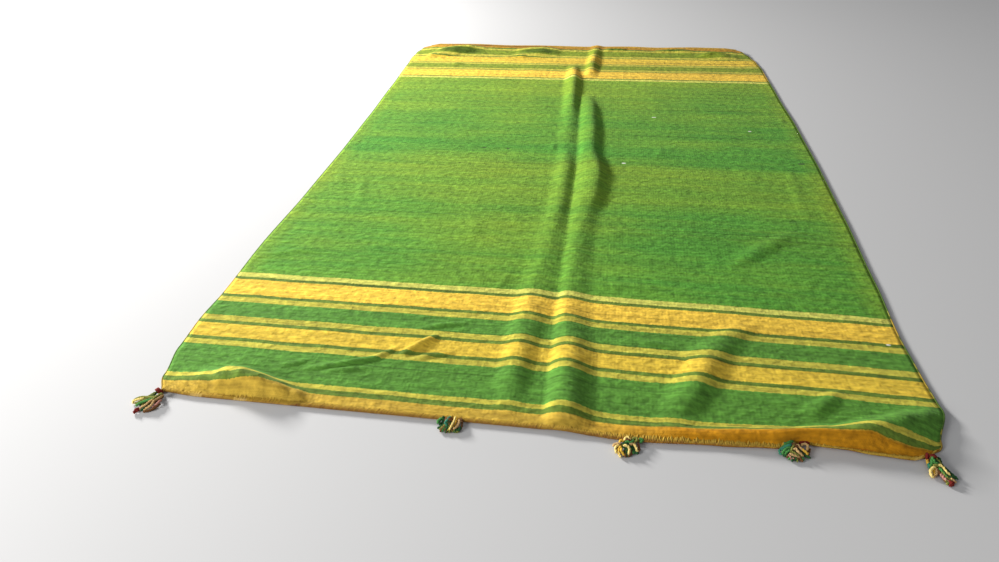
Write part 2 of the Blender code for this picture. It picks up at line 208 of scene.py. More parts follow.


# %% [markdown]
# ## Small creases
#
# The eye reads cloth by its small creases: a pinch beside a fold, a fine ridge that runs out into the
# stripes, a trough where the wool has puckered. Each is a few points on the cloth with a height, positive
# for a ridge and negative for a trough, and a width on its left and on its right.

# %% Small creases
# Points (across, along) of the crest, height, width to the left of its run, width to the right
CREASES = [
    ([(0.290, 0.100), (0.360, 0.122), (0.430, 0.150), (0.478, 0.196)], 0.0060, 0.010, 0.009),
    ([(0.478, 0.166), (0.505, 0.192), (0.545, 0.236)], 0.0105, 0.012, 0.017),
    ([(0.500, 0.254), (0.545, 0.270), (0.600, 0.284)], 0.0048, 0.009, 0.010),
    ([(0.235, 0.104), (0.262, 0.112), (0.300, 0.132)], 0.0042, 0.010, 0.009),
    ([(0.340, 0.100), (0.380, 0.108), (0.440, 0.124)], 0.0036, 0.010, 0.009),
    ([(0.500, 0.152), (0.545, 0.172), (0.590, 0.184)], 0.0045, 0.010, 0.010),
    ([(1.000, 0.250), (1.035, 0.238), (1.052, 0.222), (1.058, 0.196)], -0.0080, 0.011, 0.010),
    ([(0.960, 0.262), (1.000, 0.262), (1.040, 0.252)], 0.0040, 0.010, 0.012),
    ([(0.000, 0.488), (0.070, 0.508), (0.120, 0.530), (0.190, 0.548)], 0.0044, 0.011, 0.013),
    ([(0.055, 0.965), (0.075, 0.915), (0.110, 0.880)], 0.0042, 0.022, 0.018),
    ([(0.140, 0.935), (0.158, 0.880), (0.178, 0.812)], 0.0040, 0.020, 0.018),
    ([(0.160, 0.842), (0.190, 0.824), (0.230, 0.812)], 0.0040, 0.018, 0.018),
    ([(1.262, 0.090), (1.290, 0.116), (1.335, 0.160)], 0.0065, 0.022, 0.020),
    ([(0.525, 0.712), (0.540, 0.686), (0.558, 0.656)], 0.0038, 0.018, 0.016),
    ([(0.860, 0.672), (0.920, 0.692), (0.995, 0.694)], 0.0030, 0.016, 0.014),
    ([(0.850, 0.468), (0.900, 0.452), (0.960, 0.462), (1.010, 0.446)], 0.0036, 0.016, 0.016),
    ([(0.640, 0.416), (0.655, 0.446), (0.660, 0.486)], 0.0026, 0.014, 0.012),
    ([(1.408, 0.800), (1.414, 0.960), (1.418, 1.120)], 0.0026, 0.020, 0.018),
    ([(0.700, 1.180), (0.708, 1.215), (0.706, 1.250)], 0.0036, 0.014, 0.014),
    ([(1.030, 1.150), (1.050, 1.190), (1.062, 1.236)], 0.0030, 0.018, 0.018),
    ([(0.085, 2.205), (0.140, 2.232), (0.220, 2.245), (0.310, 2.238)], 0.0095, 0.030, 0.034),
    ([(0.455, 2.225), (0.520, 2.238), (0.590, 2.244), (0.650, 2.238)], 0.0090, 0.030, 0.034),
    ([(0.060, 2.150), (0.100, 2.165), (0.150, 2.160)], 0.0050, 0.020, 0.022),
    ([(0.405, 2.150), (0.450, 2.168), (0.510, 2.162)], 0.0055, 0.020, 0.022),
    ([(0.180, 2.035), (0.215, 2.052), (0.245, 2.050)], 0.0060, 0.018, 0.020),
    ([(0.840, 2.238), (0.880, 2.256), (0.950, 2.252)], 0.0080, 0.024, 0.022),
    ([(1.060, 2.240), (1.150, 2.256), (1.230, 2.240)], 0.0075, 0.026, 0.022),
    ([(1.250, 2.190), (1.330, 2.222), (1.400, 2.218)], 0.0080, 0.026, 0.024),
    ([(0.310, 2.250), (0.380, 2.262), (0.450, 2.250)], 0.0040, 0.026, 0.018),
]


def crease_height(across, along, points, height, left, right):
    """Cosine wave across the crest's nearest stretch, times the sine of the share of its run, softened."""
    points = np.asarray(points)
    steps = np.diff(points, axis=0)
    lengths = np.hypot(steps[:, 0], steps[:, 1])
    starts = np.concatenate([[0.0], np.cumsum(lengths)])
    nearest = np.full(across.shape, np.inf)
    run, side = np.zeros_like(across), np.zeros_like(across)
    for (x, y), (step_x, step_y), length, start in zip(points, steps, lengths, starts):
        share = np.clip(((across - x) * step_x + (along - y) * step_y) / length**2, 0.0, 1.0)
        gap = np.hypot(across - x - share * step_x, along - y - share * step_y)
        closer = gap < nearest
        nearest = np.where(closer, gap, nearest)
        run = np.where(closer, start + share * length, run)
        side = np.where(closer, step_x * (along - y) - step_y * (across - x), side)
    wave = 0.5 + 0.5 * np.cos(np.pi * np.minimum(nearest / np.where(side > 0.0, left, right), 1.0))
    return height * wave * np.sin(np.pi * np.clip(run / starts[-1], 0.0, 1.0)) ** 0.7


# %% [markdown]
# ## Wool never lies dead flat
#
# Between its folds the cloth still rises and falls by a fraction of a millimetre, where yarns pull a
# little harder than their neighbours. A few dozen faint plane waves with different lengths and headings,
# added together, give such an uneven surface without a repeat. They fade out towards the edges.

# %% The faint unevenness of the whole cloth
RIPPLES = 42
RIPPLE_LENGTHS = (0.035, 0.26)
RIPPLE_SLOPE = 0.0085
EDGE_FADE = 0.05

ripple_draw = np.random.default_rng(11)
ripple_length = ripple_draw.uniform(*RIPPLE_LENGTHS, RIPPLES)
ripple_heading = ripple_draw.uniform(0.0, np.pi, RIPPLES)
ripple_phase = ripple_draw.uniform(0.0, 2.0 * np.pi, RIPPLES)


def unevenness(across, along):
    """Sum of plane waves; each wave's height is its length times a slope, so that all lean alike."""
    total = np.zeros_like(across)
    for length, heading, phase in zip(ripple_length, ripple_heading, ripple_phase):
        way = across * np.cos(heading) + along * np.sin(heading)
        total += length * np.cos(2.0 * np.pi * way / length + phase)
    total *= RIPPLE_SLOPE / (2.0 * np.pi) / math.sqrt(RIPPLES / 8.0)
    to_edge = np.minimum.reduce([across, WIDTH - across, along, LENGTH - along])
    return total * np.clip(to_edge / EDGE_FADE, 0.0, 1.0)


# %% [markdown]
# ## From the cloth to the room
#
# `underside` answers the question *where does this place on the cloth lie?* for whole arrays at once.
# `on_cloth` adds a height above the underside, measured square to the cloth, and also accepts places just
# outside the edges, so that a stitch can be carried round the hem.

# %% Laying places of the cloth in the room
RIPPLE_LIFT = 0.0006
PROBE = 0.0005


def underside(across, along):
    """Straight lines plus the edges' stray, with the folds, creases and ripples added up as height."""
    left = eased(along, SELVAGES[:, 0], SELVAGES[:, 1])
    right = eased(along, SELVAGES[:, 0], SELVAGES[:, 2])
    near_left = np.clip(1.0 - across / SELVAGE_REACH, 0.0, 1.0) ** 2
    near_right = np.clip(1.0 - (WIDTH - across) / SELVAGE_REACH, 0.0, 1.0) ** 2
    x = LEFT_X + across + left * near_left + right * near_right
    drawn_in = eased(across, NEAR_HEM[:, 0], NEAR_HEM[:, 1])
    reach = np.maximum(HEM_REACH, REACH_PER_DRAW * drawn_in)
    y = HEM_Y + along + drawn_in * np.clip(1.0 - along / reach, 0.0, 1.0) ** 2
    z = RIPPLE_LIFT + unevenness(across, along)
    for name, rows in LONG_FOLDS.items():
        z = z + fold_height(along, across, rows, SHARP_FEET.get(name, (0.0, 0.0)))
    for rows in CROSS_FOLDS.values():
        z = z + fold_height(across, along, rows)
    for points, height, left_width, right_width in CREASES:
        z = z + crease_height(across, along, points, height, left_width, right_width)
    return np.stack([x, y, np.maximum(z, 0.0)], axis=-1)


def unit(vectors):
    """Each vector divided by its own length."""
    return vectors / np.maximum(np.linalg.norm(vectors, axis=-1, keepdims=True), 1e-12)


def on_cloth(across, along, above):
    """The nearest place inside the cloth, plus the overhang along the cloth's own directions there."""
    inner_across = np.clip(across, 0.0, WIDTH)
    inner_along = np.clip(along, 0.0, LENGTH)
    low_a, high_a = np.clip(inner_across - PROBE, 0, WIDTH), np.clip(inner_across + PROBE, 0, WIDTH)
    low_l, high_l = np.clip(inner_along - PROBE, 0, LENGTH), np.clip(inner_along + PROBE, 0, LENGTH)
    rightward = unit(underside(high_a, inner_along) - underside(low_a, inner_along))
    onward = unit(underside(inner_across, high_l) - underside(inner_across, low_l))
    upward = unit(np.cross(rightward, onward))
    base = underside(inner_across, inner_along)
    outside = rightward * (across - inner_across)[..., None] + onward * (along - inner_along)[..., None]
    return base + outside + upward * np.asarray(above)[..., None]


# %% [markdown]
# ## The weft doesn't run quite straight
#
# A weaver beats the weft down harder in some places than in others, and the cloth is pulled askew in use,
# so the stripes bow by up to a couple of centimetres. The table says by how much, at a few places across
# and along, and the dyes and the weave are then looked up at the drifted place.

# %% How far the weft has drifted
DRIFT_ACROSS = (0.0, 0.80, 0.94, 1.10, 1.25, 1.36, 1.41, 1.46, WIDTH)
# Along, then the drift in millimetres at each place across
DRIFT = np.array([
    (0.000, 0, 0, 4.0, 4, 0, -6, 0, 2, 6), (0.055, 0, 0, 8.0, 7, -2, -7, 1, 3, 10),
    (0.155, 0, 0, 3.0, 6, 8, 9, 10, 11, 13), (0.240, 0, 0, 4.0, 6, 9, 11, 12, 14, 16),
    (0.310, 0, 0, 3.0, 6, 9, 10, 11, 12, 13), (0.400, 0, 0, 4.5, 8, 11, 14, 16, 17, 18),
    (1.200, 0, 0, 0.0, 0, 0, 0, 0, 0, 0),
])


def weft_place(across, along):
    """Across as it is; along plus the drift, read off the table in both directions."""
    rows = np.stack([np.interp(across, DRIFT_ACROSS, row) for row in DRIFT[:, 1:] / 1000.0])
    after = np.clip(np.searchsorted(DRIFT[:, 0], along), 1, len(DRIFT) - 1)
    start, end = DRIFT[after - 1, 0], DRIFT[after, 0]
    part = np.clip((along - start) / (end - start), 0.0, 1.0)
    column = np.arange(len(across))
    drift = rows[after - 1, column] * (1.0 - part) + rows[after, column] * part
    return np.stack([across, along + drift], axis=-1)


# %% [markdown]
# ## Putting arrays into a mesh
#
# Blender takes whole arrays with `foreach_set`, which is quick and needs no Python loop over points. The
# flat coordinates go along as a UV map in metres, so that dye and weave follow the cloth in its folds.

# %% A mesh from arrays


def mesh_piece(name, points, quads, flat, dye=None):
    """An object at the origin from points (n, 3), quads (m, 4), a UV per point and a dye number per point."""
    mesh = bpy.data.meshes.new(name)
    mesh.vertices.add(len(points))
    mesh.vertices.foreach_set("co", points.astype(np.float32).ravel())
    mesh.loops.add(quads.size)
    mesh.loops.foreach_set("vertex_index", quads.astype(np.int32).ravel())
    mesh.polygons.add(len(quads))
    mesh.polygons.foreach_set("loop_start", np.arange(0, quads.size, 4, dtype=np.int32))
    mesh.update(calc_edges=True)
    uv = mesh.uv_layers.new(name="flat")
    uv.data.foreach_set("uv", flat[quads.ravel()].astype(np.float32).ravel())
    if dye is not None:
        tint = mesh.attributes.new("dye", "FLOAT", "POINT")
        tint.data.foreach_set("value", dye.astype(np.float32))
    mesh.polygons.foreach_set("use_smooth", np.ones(len(quads), dtype=bool))
    mesh.validate()
    piece = bpy.data.objects.new(name, mesh)
    bpy.context.scene.collection.objects.link(piece)
    print(f"{name}: {len(points)} points, {2 * len(quads)} triangles")
    return piece


def grid_quads(rows, columns):
    """Corner numbers of a grid's quads, anticlockwise seen from above, for points stored row by row."""
    first = np.arange(rows - 1)[:, None] * columns + np.arange(columns - 1)
    return np.stack([first, first + 1, first + columns + 1, first + columns], axis=-1).reshape(-1, 4)


# %% [markdown]
# ## The woven cloth
#
# One grid, with its lines closer where the cloth bends more, is laid on the folds and then given its
# thickness by a Solidify modifier. A vertex group makes the strip along the near hem thicker, because it is
# turned over once and whipped.

# %% The cloth
COLUMN_STRIPS = [(0.00, 0.28, 30), (0.28, 0.62, 72), (0.62, 0.92, 46), (0.92, 1.12, 26), (1.12, WIDTH, 40)]
ROW_STRIPS = [
    (0.000, HEM_DEPTH, 1), (HEM_DEPTH, 0.100, 24), (0.100, 0.300, 50), (0.300, 0.420, 18),
    (0.420, 0.600, 16), (0.600, 2.050, 80), (2.050, LENGTH, 35),
]


def grid_lines(strips):
    """Evenly spaced lines within each stretch, joined end to end."""
    lines = [np.linspace(start, end, count, endpoint=False) for start, end, count in strips]
    return np.append(np.concatenate(lines), strips[-1][1])


columns, rows = grid_lines(COLUMN_STRIPS), grid_lines(ROW_STRIPS)
across, along = np.meshgrid(columns, rows)
laid = underside(across, along).reshape(-1, 3)
flat = weft_place(across.ravel(), along.ravel())
woven_blanket = mesh_piece("woven_blanket", laid, grid_quads(len(rows), len(columns)), flat)

thickness = woven_blanket.vertex_groups.new(name="thickness")
at_hem = along.ravel() <= HEM_DEPTH / 2
thickness.add(np.flatnonzero(at_hem).tolist(), 1.0, "REPLACE")
thickness.add(np.flatnonzero(~at_hem).tolist(), THICK / HEM_THICK, "REPLACE")
solid = woven_blanket.modifiers.new("thickness", "SOLIDIFY")
solid.thickness = HEM_THICK
solid.offset = 1.0
solid.vertex_group = thickness.name

# %% [markdown]
# ## A profile carried along a path
#
# Selvage cord, stitches and tassel yarn are all one idea: a round profile that follows a path. Two-ply yarn
# isn't round but has two soft lobes that turn round the path, one full turn for every few diameters. That
# twist is what makes yarn look like yarn, so it is in the shape itself. Many paths of equal length are
# carried at once, as one array with an axis for the path, the step along it and the corner of the profile.

# %% Smooth ways and carried profiles
END_TAPER = (0.42, 0.80, 0.95)


def smooth_way(points, steps):
    """Cubic stretches through the knots whose slope at a knot is half the step between its neighbours."""
    points = np.asarray(points, dtype=float)
    ends = np.concatenate(
        [2 * points[:, :1] - points[:, 1:2], points, 2 * points[:, -1:] - points[:, -2:-1]], axis=1)
    at = np.linspace(0.0, points.shape[1] - 1.0, steps)
    knot = np.minimum(at.astype(int), points.shape[1] - 2)
    t = (at - knot)[None, :, None]
    a, b, c, d = (ends[:, knot + k] for k in range(4))
    return 0.5 * (2 * b + (c - a) * t + (2 * a - 5 * b + 4 * c - d) * t**2 + (3 * b - a - 3 * c + d) * t**3)


def carry_profile(paths, side, radius, corners, lobes=0, lobe_depth=0.0, turn=0.02, swell=None):
    """Rings of corners at radius × (1 + depth × cos(lobes × (angle − 2π run / turn))) round each path."""
    count, steps = paths.shape[:2]
    along_path = unit(np.gradient(paths, axis=1))
    side = np.broadcast_to(side, paths.shape)
    sideways = unit(side - (side * along_path).sum(-1, keepdims=True) * along_path)
    upward = np.cross(along_path, sideways)
    walked = np.linalg.norm(np.diff(paths, axis=1), axis=-1)
    run = np.concatenate([np.zeros((count, 1)), np.cumsum(walked, axis=1)], axis=1)
    angle = 2.0 * np.pi * np.arange(corners) / corners
    lobed = 1.0 + lobe_depth * np.cos(lobes * (angle - 2.0 * np.pi * run[..., None] / turn))
    shape = np.ones(steps) if swell is None else swell
    for k, share in enumerate(END_TAPER):
        shape = np.where((np.arange(steps) == k) | (np.arange(steps) == steps - 1 - k), shape * share, shape)
    ring = np.asarray(radius).reshape(-1, 1, 1) * shape[None, :, None] * lobed
    out = np.cos(angle)[:, None] * sideways[:, :, None] + np.sin(angle)[:, None] * upward[:, :, None]
    points = paths[:, :, None] + ring[..., None] * out
    flat = np.stack(np.broadcast_arrays(angle / (2.0 * np.pi), run[..., None]), axis=-1)

    ring_next = (np.arange(corners) + 1) % corners
    corner = np.arange(corners)
    step = np.arange(steps - 1)[:, None] * corners
    wall = np.stack(
        [step + corner, step + ring_next, step + corners + ring_next, step + corners + corner], axis=-1)
    half = np.arange(corners // 2 - 1)
    cap = np.stack([half, half + 1, corners - 2 - half, corners - 1 - half], axis=-1)
    quads = np.concatenate([wall.reshape(-1, 4), cap[:, ::-1], cap + (steps - 1) * corners])
    quads = (quads[None] + np.arange(count)[:, None, None] * steps * corners).reshape(-1, 4)
    return points.reshape(-1, 3), quads, flat.reshape(-1, 2)


# %% [markdown]
# ## Selvages
#
# At each side the weft turns round a doubled outer warp, which leaves a firm round edge. It is a thin
# cord carried along the edge, half sunk into the cloth's side, in the stripes' colours darkened, so that
# the edge shows as a thin dark line.

# %% Selvages
SELVAGE_RADIUS = 0.0019
SELVAGE_STEP = 0.0045
selvage_run = np.linspace(0.004, LENGTH - 0.004, int(LENGTH / SELVAGE_STEP))


def selvage(name, across_at):
    """A plain cord whose middle follows the edge, half a cloth's thickness above its underside."""
    ones = np.ones_like(selvage_run)
    path = on_cloth(across_at * ones, selvage_run, 0.55 * THICK * ones)[None]
    points, quads, flat = carry_profile(path, np.array([1.0, 0.0, 0.0]), SELVAGE_RADIUS, 8)
    flat = weft_place(flat[:, 0] * 2.0 * np.pi * SELVAGE_RADIUS + across_at, flat[:, 1])
    return mesh_piece(name, points, quads, flat)


selvage_left = selvage("selvage_left", 0.0)
selvage_right = selvage("selvage_right", WIDTH)

# %% [markdown]
# ## Whipping stitches
#
# The near hem is turned over and whipped: one thread goes over the edge again and again, five or six
# millimetres apart, with the thread doubled. Each thread of a stitch is a short path from the top of the
# cloth, round the edge, to the floor side. They lean a little, all to one side, and no two are quite alike.

# %% Whipping stitches along both hems
STITCH_PITCH = 0.0055
STITCH_RADIUS = 0.00145
THREAD_GAP = 0.0026
# Depth into the cloth and height above its underside, from the top of the hem round to its foot
NEAR_STITCH = np.array([(0.0105, 0.0022), (0.0075, 0.0036), (0.0030, 0.0050), (-0.0004, 0.0040), (-0.0008, 0.0020)])
FAR_STITCH = np.array([(0.0075, 0.0018), (0.0050, 0.0028), (0.0014, 0.0032), (-0.0006, 0.0022), (-0.0004, 0.0010)])


def whipping(name, outline, far, seed):
    """Short yarns carried over the edge; each point is depth and height, with a lean and a jitter across."""
    draw = np.random.default_rng(seed)
    stitch = np.arange(0.006, WIDTH - 0.006, STITCH_PITCH)
    place = (stitch[:, None] + np.array([-0.5, 0.5]) * THREAD_GAP).ravel()
    place = place + draw.normal(0.0, 0.0003, len(place))
    reach = 1.0 + draw.normal(0.0, 0.10, len(place))
    lean = 0.0042 + draw.normal(0.0, 0.0008, len(place))
    depth = outline[:, 0] * reach[:, None]
    depth = LENGTH - depth if far else depth
    sideways = place[:, None] + lean[:, None] * np.linspace(0.5, -0.5, len(outline))
    above = np.broadcast_to(outline[:, 1], depth.shape)
    paths = smooth_way(on_cloth(np.clip(sideways, 0.0, WIDTH), depth, above), 8)
    paths[..., 2] = np.maximum(paths[..., 2], 0.9 * STITCH_RADIUS)
    radius = STITCH_RADIUS * (1.0 + draw.normal(0.0, 0.08, len(place)))
    points, quads, flat = carry_profile(paths, np.array([1.0, 0.0, 0.0]), radius, 6)
    dye = np.repeat(place, len(points) // len(place))
    return mesh_piece(name, points, quads, flat, dye)


whipping_near = whipping("whipping_near", NEAR_STITCH, False, 3)
whipping_far = whipping("whipping_far", FAR_STITCH, True, 4)

# %% [markdown]
# ## Tassels
#
# Each tassel is a small hank of leftover yarn, sewn to the hem with a few tight turns of brown or dark red
# thread. Its yarns leave the turns as loops and cut ends, pile up on each other and come down to the
# floor. The ones that show are given one by one: five knots each, in whole millimetres from the middle of
# the tassel's head, with a smooth way through them. Shorter dark yarns below fill the hank.

# %% Yarns of the two tassels on the left
# Dye, and the knots of the yarn's way in millimetres: right, on along the blanket, up
LEFT_CORNER_YARNS = [
    ("olive", [(14, -4, 10), (8, -15, 11), (-6, -16, 9), (-23, -16, 7), (-36, -23, 5)]),
    ("pale yellow", [(-14, -19, 8), (-22, -22, 8), (-30, -24, 6), (-35, -26, 4), (-32, -31, 3)]),
    ("green", [(6, -20, 11), (-1, -25, 11), (-10, -29, 9), (-18, -34, 7), (-23, -37, 4)]),
    ("tan", [(8, -23, 12), (4, -28, 11), (0, -35, 9), (-6, -40, 7), (-10, -45, 5)]),
    ("dark green", [(8, -21, 8), (3, -30, 6), (0, -37, 5), (-4, -43, 4), (-7, -46, 3)]),
    ("tan", [(11, -24, 11), (12, -33, 10), (9, -38, 8), (4, -42, 6), (0, -46, 4)]),
    ("brown", [(23, -26, 5), (20, -34, 5), (14, -41, 4), (7, -45, 3), (0, -49, 3)]),
    ("pink", [(22, -19, 8), (21, -25, 9), (19, -30, 8), (15, -33, 6), (13, -38, 5)]),
    ("olive", [(18, -6, 11), (14, -10, 12), (11, -15, 12), (9, -21, 12), (7, -24, 11)]),
    ("tan", [(18, -6, 9), (17, -14, 10), (14, -19, 10), (11, -24, 10), (8, -26, 9)]),
    ("brown", [(17, -5, 6), (18, -14, 7), (15, -19, 7), (12, -24, 7), (11, -29, 6)]),
    ("olive", [(-6, -18, 7), (-13, -22, 6), (-19, -25, 5), (-24, -29, 4), (-31, -29, 3)]),
    ("dark red", [(-11, -43, 6), (-13, -46, 7), (-16, -48, 6), (-17, -50, 4), (-17, -53, 3)]),
    ("dark red", [(-9, -45, 4), (-12, -48, 4), (-15, -50, 3), (-16, -52, 3), (-17, -54, 3)]),
]
LEFT_YARNS = [
    ("dark green", [(-10, 10, 10), (-14, 4, 9), (-17, 0, 7), (-15, -6, 5), (-11, -7, 3)]),
    ("green", [(-10, 7, 9), (-15, 4, 9), (-19, 0, 8), (-20, -2, 6), (-19, -4, 4)]),
    ("dark green", [(-8, 9, 8), (-10, 4, 7), (-12, 0, 5), (-12, -4, 3), (-9, -8, 3)]),
    ("blue green", [(3, 9, 10), (0, 7, 11), (-2, 1, 11), (-5, -4, 9), (0, -10, 5)]),
    ("blue green", [(3, 7, 8), (2, 4, 8), (1, -1, 7), (0, -5, 6), (2, -9, 4)]),
    ("pale yellow", [(11, 11, 11), (11, 1, 12), (9, -6, 10), (7, -12, 8), (4, -17, 4)]),
    ("yellow", [(5, -13, 5), (4, -15, 4), (2, -17, 3), (2, -18, 3), (2, -20, 3)]),
    ("tan", [(18, 6, 9), (20, 0, 9), (19, -6, 8), (16, -11, 7), (11, -14, 5)]),
    ("yellow", [(15, 10, 8), (14, 2, 7), (12, -5, 6), (9, -10, 5), (7, -13, 3)]),
    ("brown", [(20, 12, 7), (24, 6, 6), (25, -1, 5), (25, -7, 4), (22, -13, 3)]),
    ("dark green", [(24, -7, 5), (23, -13, 5), (20, -16, 3), (16, -18, 3), (12, -17, 3)]),
    ("olive", [(10, -10, 4), (10, -16, 3), (14, -17, 3), (19, -18, 3), (23, -15, 3)]),
    ("brown", [(-2, -11, 4), (-3, -15, 4), (-2, -18, 3), (0, -20, 3), (2, -21, 3)]),
]

# %% Yarns of the other three
MIDDLE_YARNS = [
    ("pale yellow", [(6, 4, 10), (2, 7, 12), (-1, 8, 12), (-4, 4, 11), (-5, 1, 9)]),
    ("yellow", [(-6, 0, 9), (-9, 2, 10), (-11, 1, 10), (-13, -2, 9), (-13, -3, 7)]),
    ("tan", [(-11, -5, 9), (-16, -6, 9), (-20, -6, 8), (-23, -8, 6), (-24, -9, 4)]),
    ("pale yellow", [(-13, -8, 8), (-17, -10, 8), (-20, -14, 7), (-19, -19, 5), (-18, -23, 3)]),
    ("yellow", [(-10, -10, 8), (-13, -14, 7), (-14, -18, 6), (-14, -21, 4), (-15, -25, 3)]),
    ("pale yellow", [(-12, -15, 6), (-14, -20, 5), (-13, -24, 4), (-12, -27, 3), (-10, -30, 3)]),
    ("yellow", [(-9, -14, 8), (-10, -19, 8), (-8, -22, 6), (-6, -24, 4), (-6, -26, 3)]),
    ("pale yellow", [(-7, -10, 10), (-2, -10, 11), (2, -12, 10), (4, -17, 8), (2, -25, 3)]),
    ("brown", [(-3, -11, 5), (-2, -16, 4), (-2, -22, 3), (-2, -25, 3), (-3, -29, 3)]),
    ("green", [(-4, -1, 10), (1, 0, 11), (5, -1, 10), (9, 1, 10), (11, 6, 9)]),
    ("olive", [(8, 7, 9), (13, 10, 10), (17, 8, 10), (16, 4, 9), (11, 1, 8)]),
    ("dark green", [(-8, -5, 8), (-5, -5, 9), (-1, -4, 8), (3, -4, 7), (6, -4, 5)]),
    ("tan", [(4, -3, 9), (7, -4, 9), (11, -2, 8), (14, -4, 7), (16, -8, 5)]),
    ("pale yellow", [(11, -3, 9), (14, -7, 8), (16, -11, 7), (17, -14, 5), (18, -15, 3)]),
    ("dark green", [(11, -4, 5), (12, -9, 4), (15, -14, 3), (17, -18, 3), (19, -16, 3)]),
    ("brown", [(18, 2, 7), (20, -2, 6), (21, -8, 5), (21, -12, 4), (19, -15, 3)]),
    ("green", [(21, 12, 8), (24, 10, 8), (27, 10, 7), (25, 7, 6), (23, 5, 4)]),
    ("brown", [(4, -6, 5), (7, -12, 4), (7, -18, 3), (5, -23, 3), (3, -27, 3)]),
]
RIGHT_YARNS = [
    ("green", [(-1, 14, 10), (-8, 10, 11), (-13, 7, 10), (-17, 4, 8), (-22, -1, 6)]),
    ("blue green", [(-6, 4, 11), (-12, 2, 11), (-17, 0, 9), (-21, -3, 7), (-24, -5, 5)]),
    ("green", [(-8, -1, 10), (-13, -2, 9), (-18, -6, 8), (-21, -9, 6), (-23, -13, 3)]),
    ("dark green", [(-12, -3, 7), (-16, -5, 6), (-19, -9, 4), (-20, -14, 3), (-17, -16, 3)]),
    ("blue green", [(-17, 2, 7), (-23, -2, 7), (-26, -5, 5), (-27, -10, 4), (-24, -14, 3)]),
    ("blue green", [(-3, 9, 9), (-8, 7, 9), (-13, 5, 9), (-16, 8, 8), (-16, 11, 8)]),
    ("green", [(-10, -7, 9), (-14, -9, 8), (-17, -11, 6), (-18, -13, 4), (-16, -16, 3)]),
    ("olive", [(1, 12, 10), (-2, 4, 11), (-6, -3, 11), (-8, -7, 9), (-8, -11, 6)]),
    ("tan", [(1, 5, 11), (5, 4, 11), (7, 0, 10), (11, -3, 9), (16, -5, 6)]),
    ("tan", [(-5, -5, 11), (0, -5, 11), (2, -9, 10), (6, -11, 8), (11, -14, 4)]),
    ("olive", [(-7, -8, 9), (-4, -11, 8), (0, -13, 7), (4, -14, 5), (8, -16, 3)]),
    ("tan", [(-12, -13, 8), (-7, -15, 7), (-2, -16, 6), (3, -16, 4), (6, -19, 3)]),
    ("tan", [(10, 5, 9), (14, 9, 10), (20, 9, 10), (21, 4, 9), (18, -3, 8)]),
    ("yellow", [(8, 1, 9), (12, -4, 9), (15, -6, 8), (18, -8, 6), (17, -11, 4)]),
    ("brown", [(3, 2, 8), (7, -2, 7), (11, -5, 6), (13, -7, 5), (14, -10, 3)]),
    ("brown", [(22, 5, 6), (24, 2, 5), (22, -3, 4), (20, -8, 3), (16, -13, 3)]),
    ("brown", [(-16, -16, 4), (-11, -17, 3), (-5, -19, 3), (1, -19, 3), (6, -18, 3)]),
    ("pink", [(-13, -13, 5), (-12, -16, 4), (-10, -19, 3), (-7, -20, 3), (-5, -21, 3)]),
    ("dark red", [(9, 11, 8), (11, 13, 8), (17, 16, 7), (23, 17, 6), (27, 16, 5)]),
]
RIGHT_CORNER_YARNS = [
    ("dark red", [(-8, 10, 10), (-10, 5, 11), (-12, 1, 10), (-11, -2, 8), (-10, -4, 5)]),
    ("yellow", [(-10, 1, 8), (-12, -4, 7), (-12, -8, 6), (-12, -11, 5), (-11, -13, 3)]),
    ("green", [(-4, 4, 10), (-4, -2, 11), (-3, -6, 10), (-2, -9, 9), (2, -10, 8)]),
    ("green", [(-5, 2, 9), (-6, -5, 9), (-7, -10, 8), (-10, -14, 6), (-11, -15, 3)]),
    ("blue green", [(-9, -5, 6), (-12, -11, 6), (-12, -14, 5), (-12, -15, 4), (-11, -17, 3)]),
    ("olive", [(2, 5, 8), (4, 0, 8), (6, -4, 8), (7, -8, 7), (8, -12, 6)]),
    ("dark green", [(9, 7, 6), (10, 2, 6), (10, -2, 5), (10, -6, 4), (12, -10, 4)]),
    ("olive", [(-7, -14, 9), (-4, -15, 10), (0, -15, 9), (5, -11, 8), (8, -8, 7)]),
    ("pale yellow", [(-3, -16, 8), (-8, -19, 8), (-13, -24, 6), (-14, -31, 4), (-12, -36, 3)]),
    ("tan", [(-2, -15, 6), (-3, -22, 5), (-5, -28, 4), (-9, -32, 3), (-12, -36, 3)]),
    ("yellow", [(-4, -18, 4), (-6, -21, 3), (-7, -26, 3), (-8, -30, 3), (-10, -32, 3)]),
    ("pale yellow", [(0, -15, 10), (5, -15, 10), (8, -19, 9), (10, -25, 8), (15, -30, 6)]),
    ("green", [(1, -18, 8), (3, -22, 8), (5, -26, 7), (7, -31, 6), (8, -35, 4)]),
    ("olive", [(3, -25, 7), (6, -30, 6), (8, -34, 5), (11, -36, 4), (13, -38, 3)]),
    ("brown", [(0, -19, 6), (0, -25, 5), (2, -32, 4), (4, -37, 3), (5, -43, 3)]),
    ("pink", [(0, -29, 6), (2, -32, 5), (4, -36, 4), (6, -40, 4), (8, -42, 3)]),
    ("dark green", [(11, -11, 5), (14, -18, 5), (17, -23, 4), (19, -30, 3), (20, -35, 3)]),
    ("tan", [(13, -36, 6), (15, -37, 5), (17, -39, 4), (19, -40, 3), (19, -42, 3)]),
    ("dark red", [(11, -40, 5), (11, -43, 5), (12, -45, 4), (9, -48, 3), (7, -48, 3)]),
    ("dark red", [(16, -40, 4), (16, -42, 3), (14, -46, 3), (11, -48, 3), (9, -50, 3)]),
    ("olive", [(4, -40, 4), (6, -41, 4), (9, -41, 3), (7, -45, 3), (4, -47, 3)]),
]

# %% Tassels
YARN_RADIUS = 0.00215
YARN_STEPS = 26
YARN_TURN = 0.0105
YARN_LOBE = 0.20
DYES = ["dark green", "green", "blue green", "olive", "yellow", "pale yellow", "tan", "pink", "dark red", "brown"]
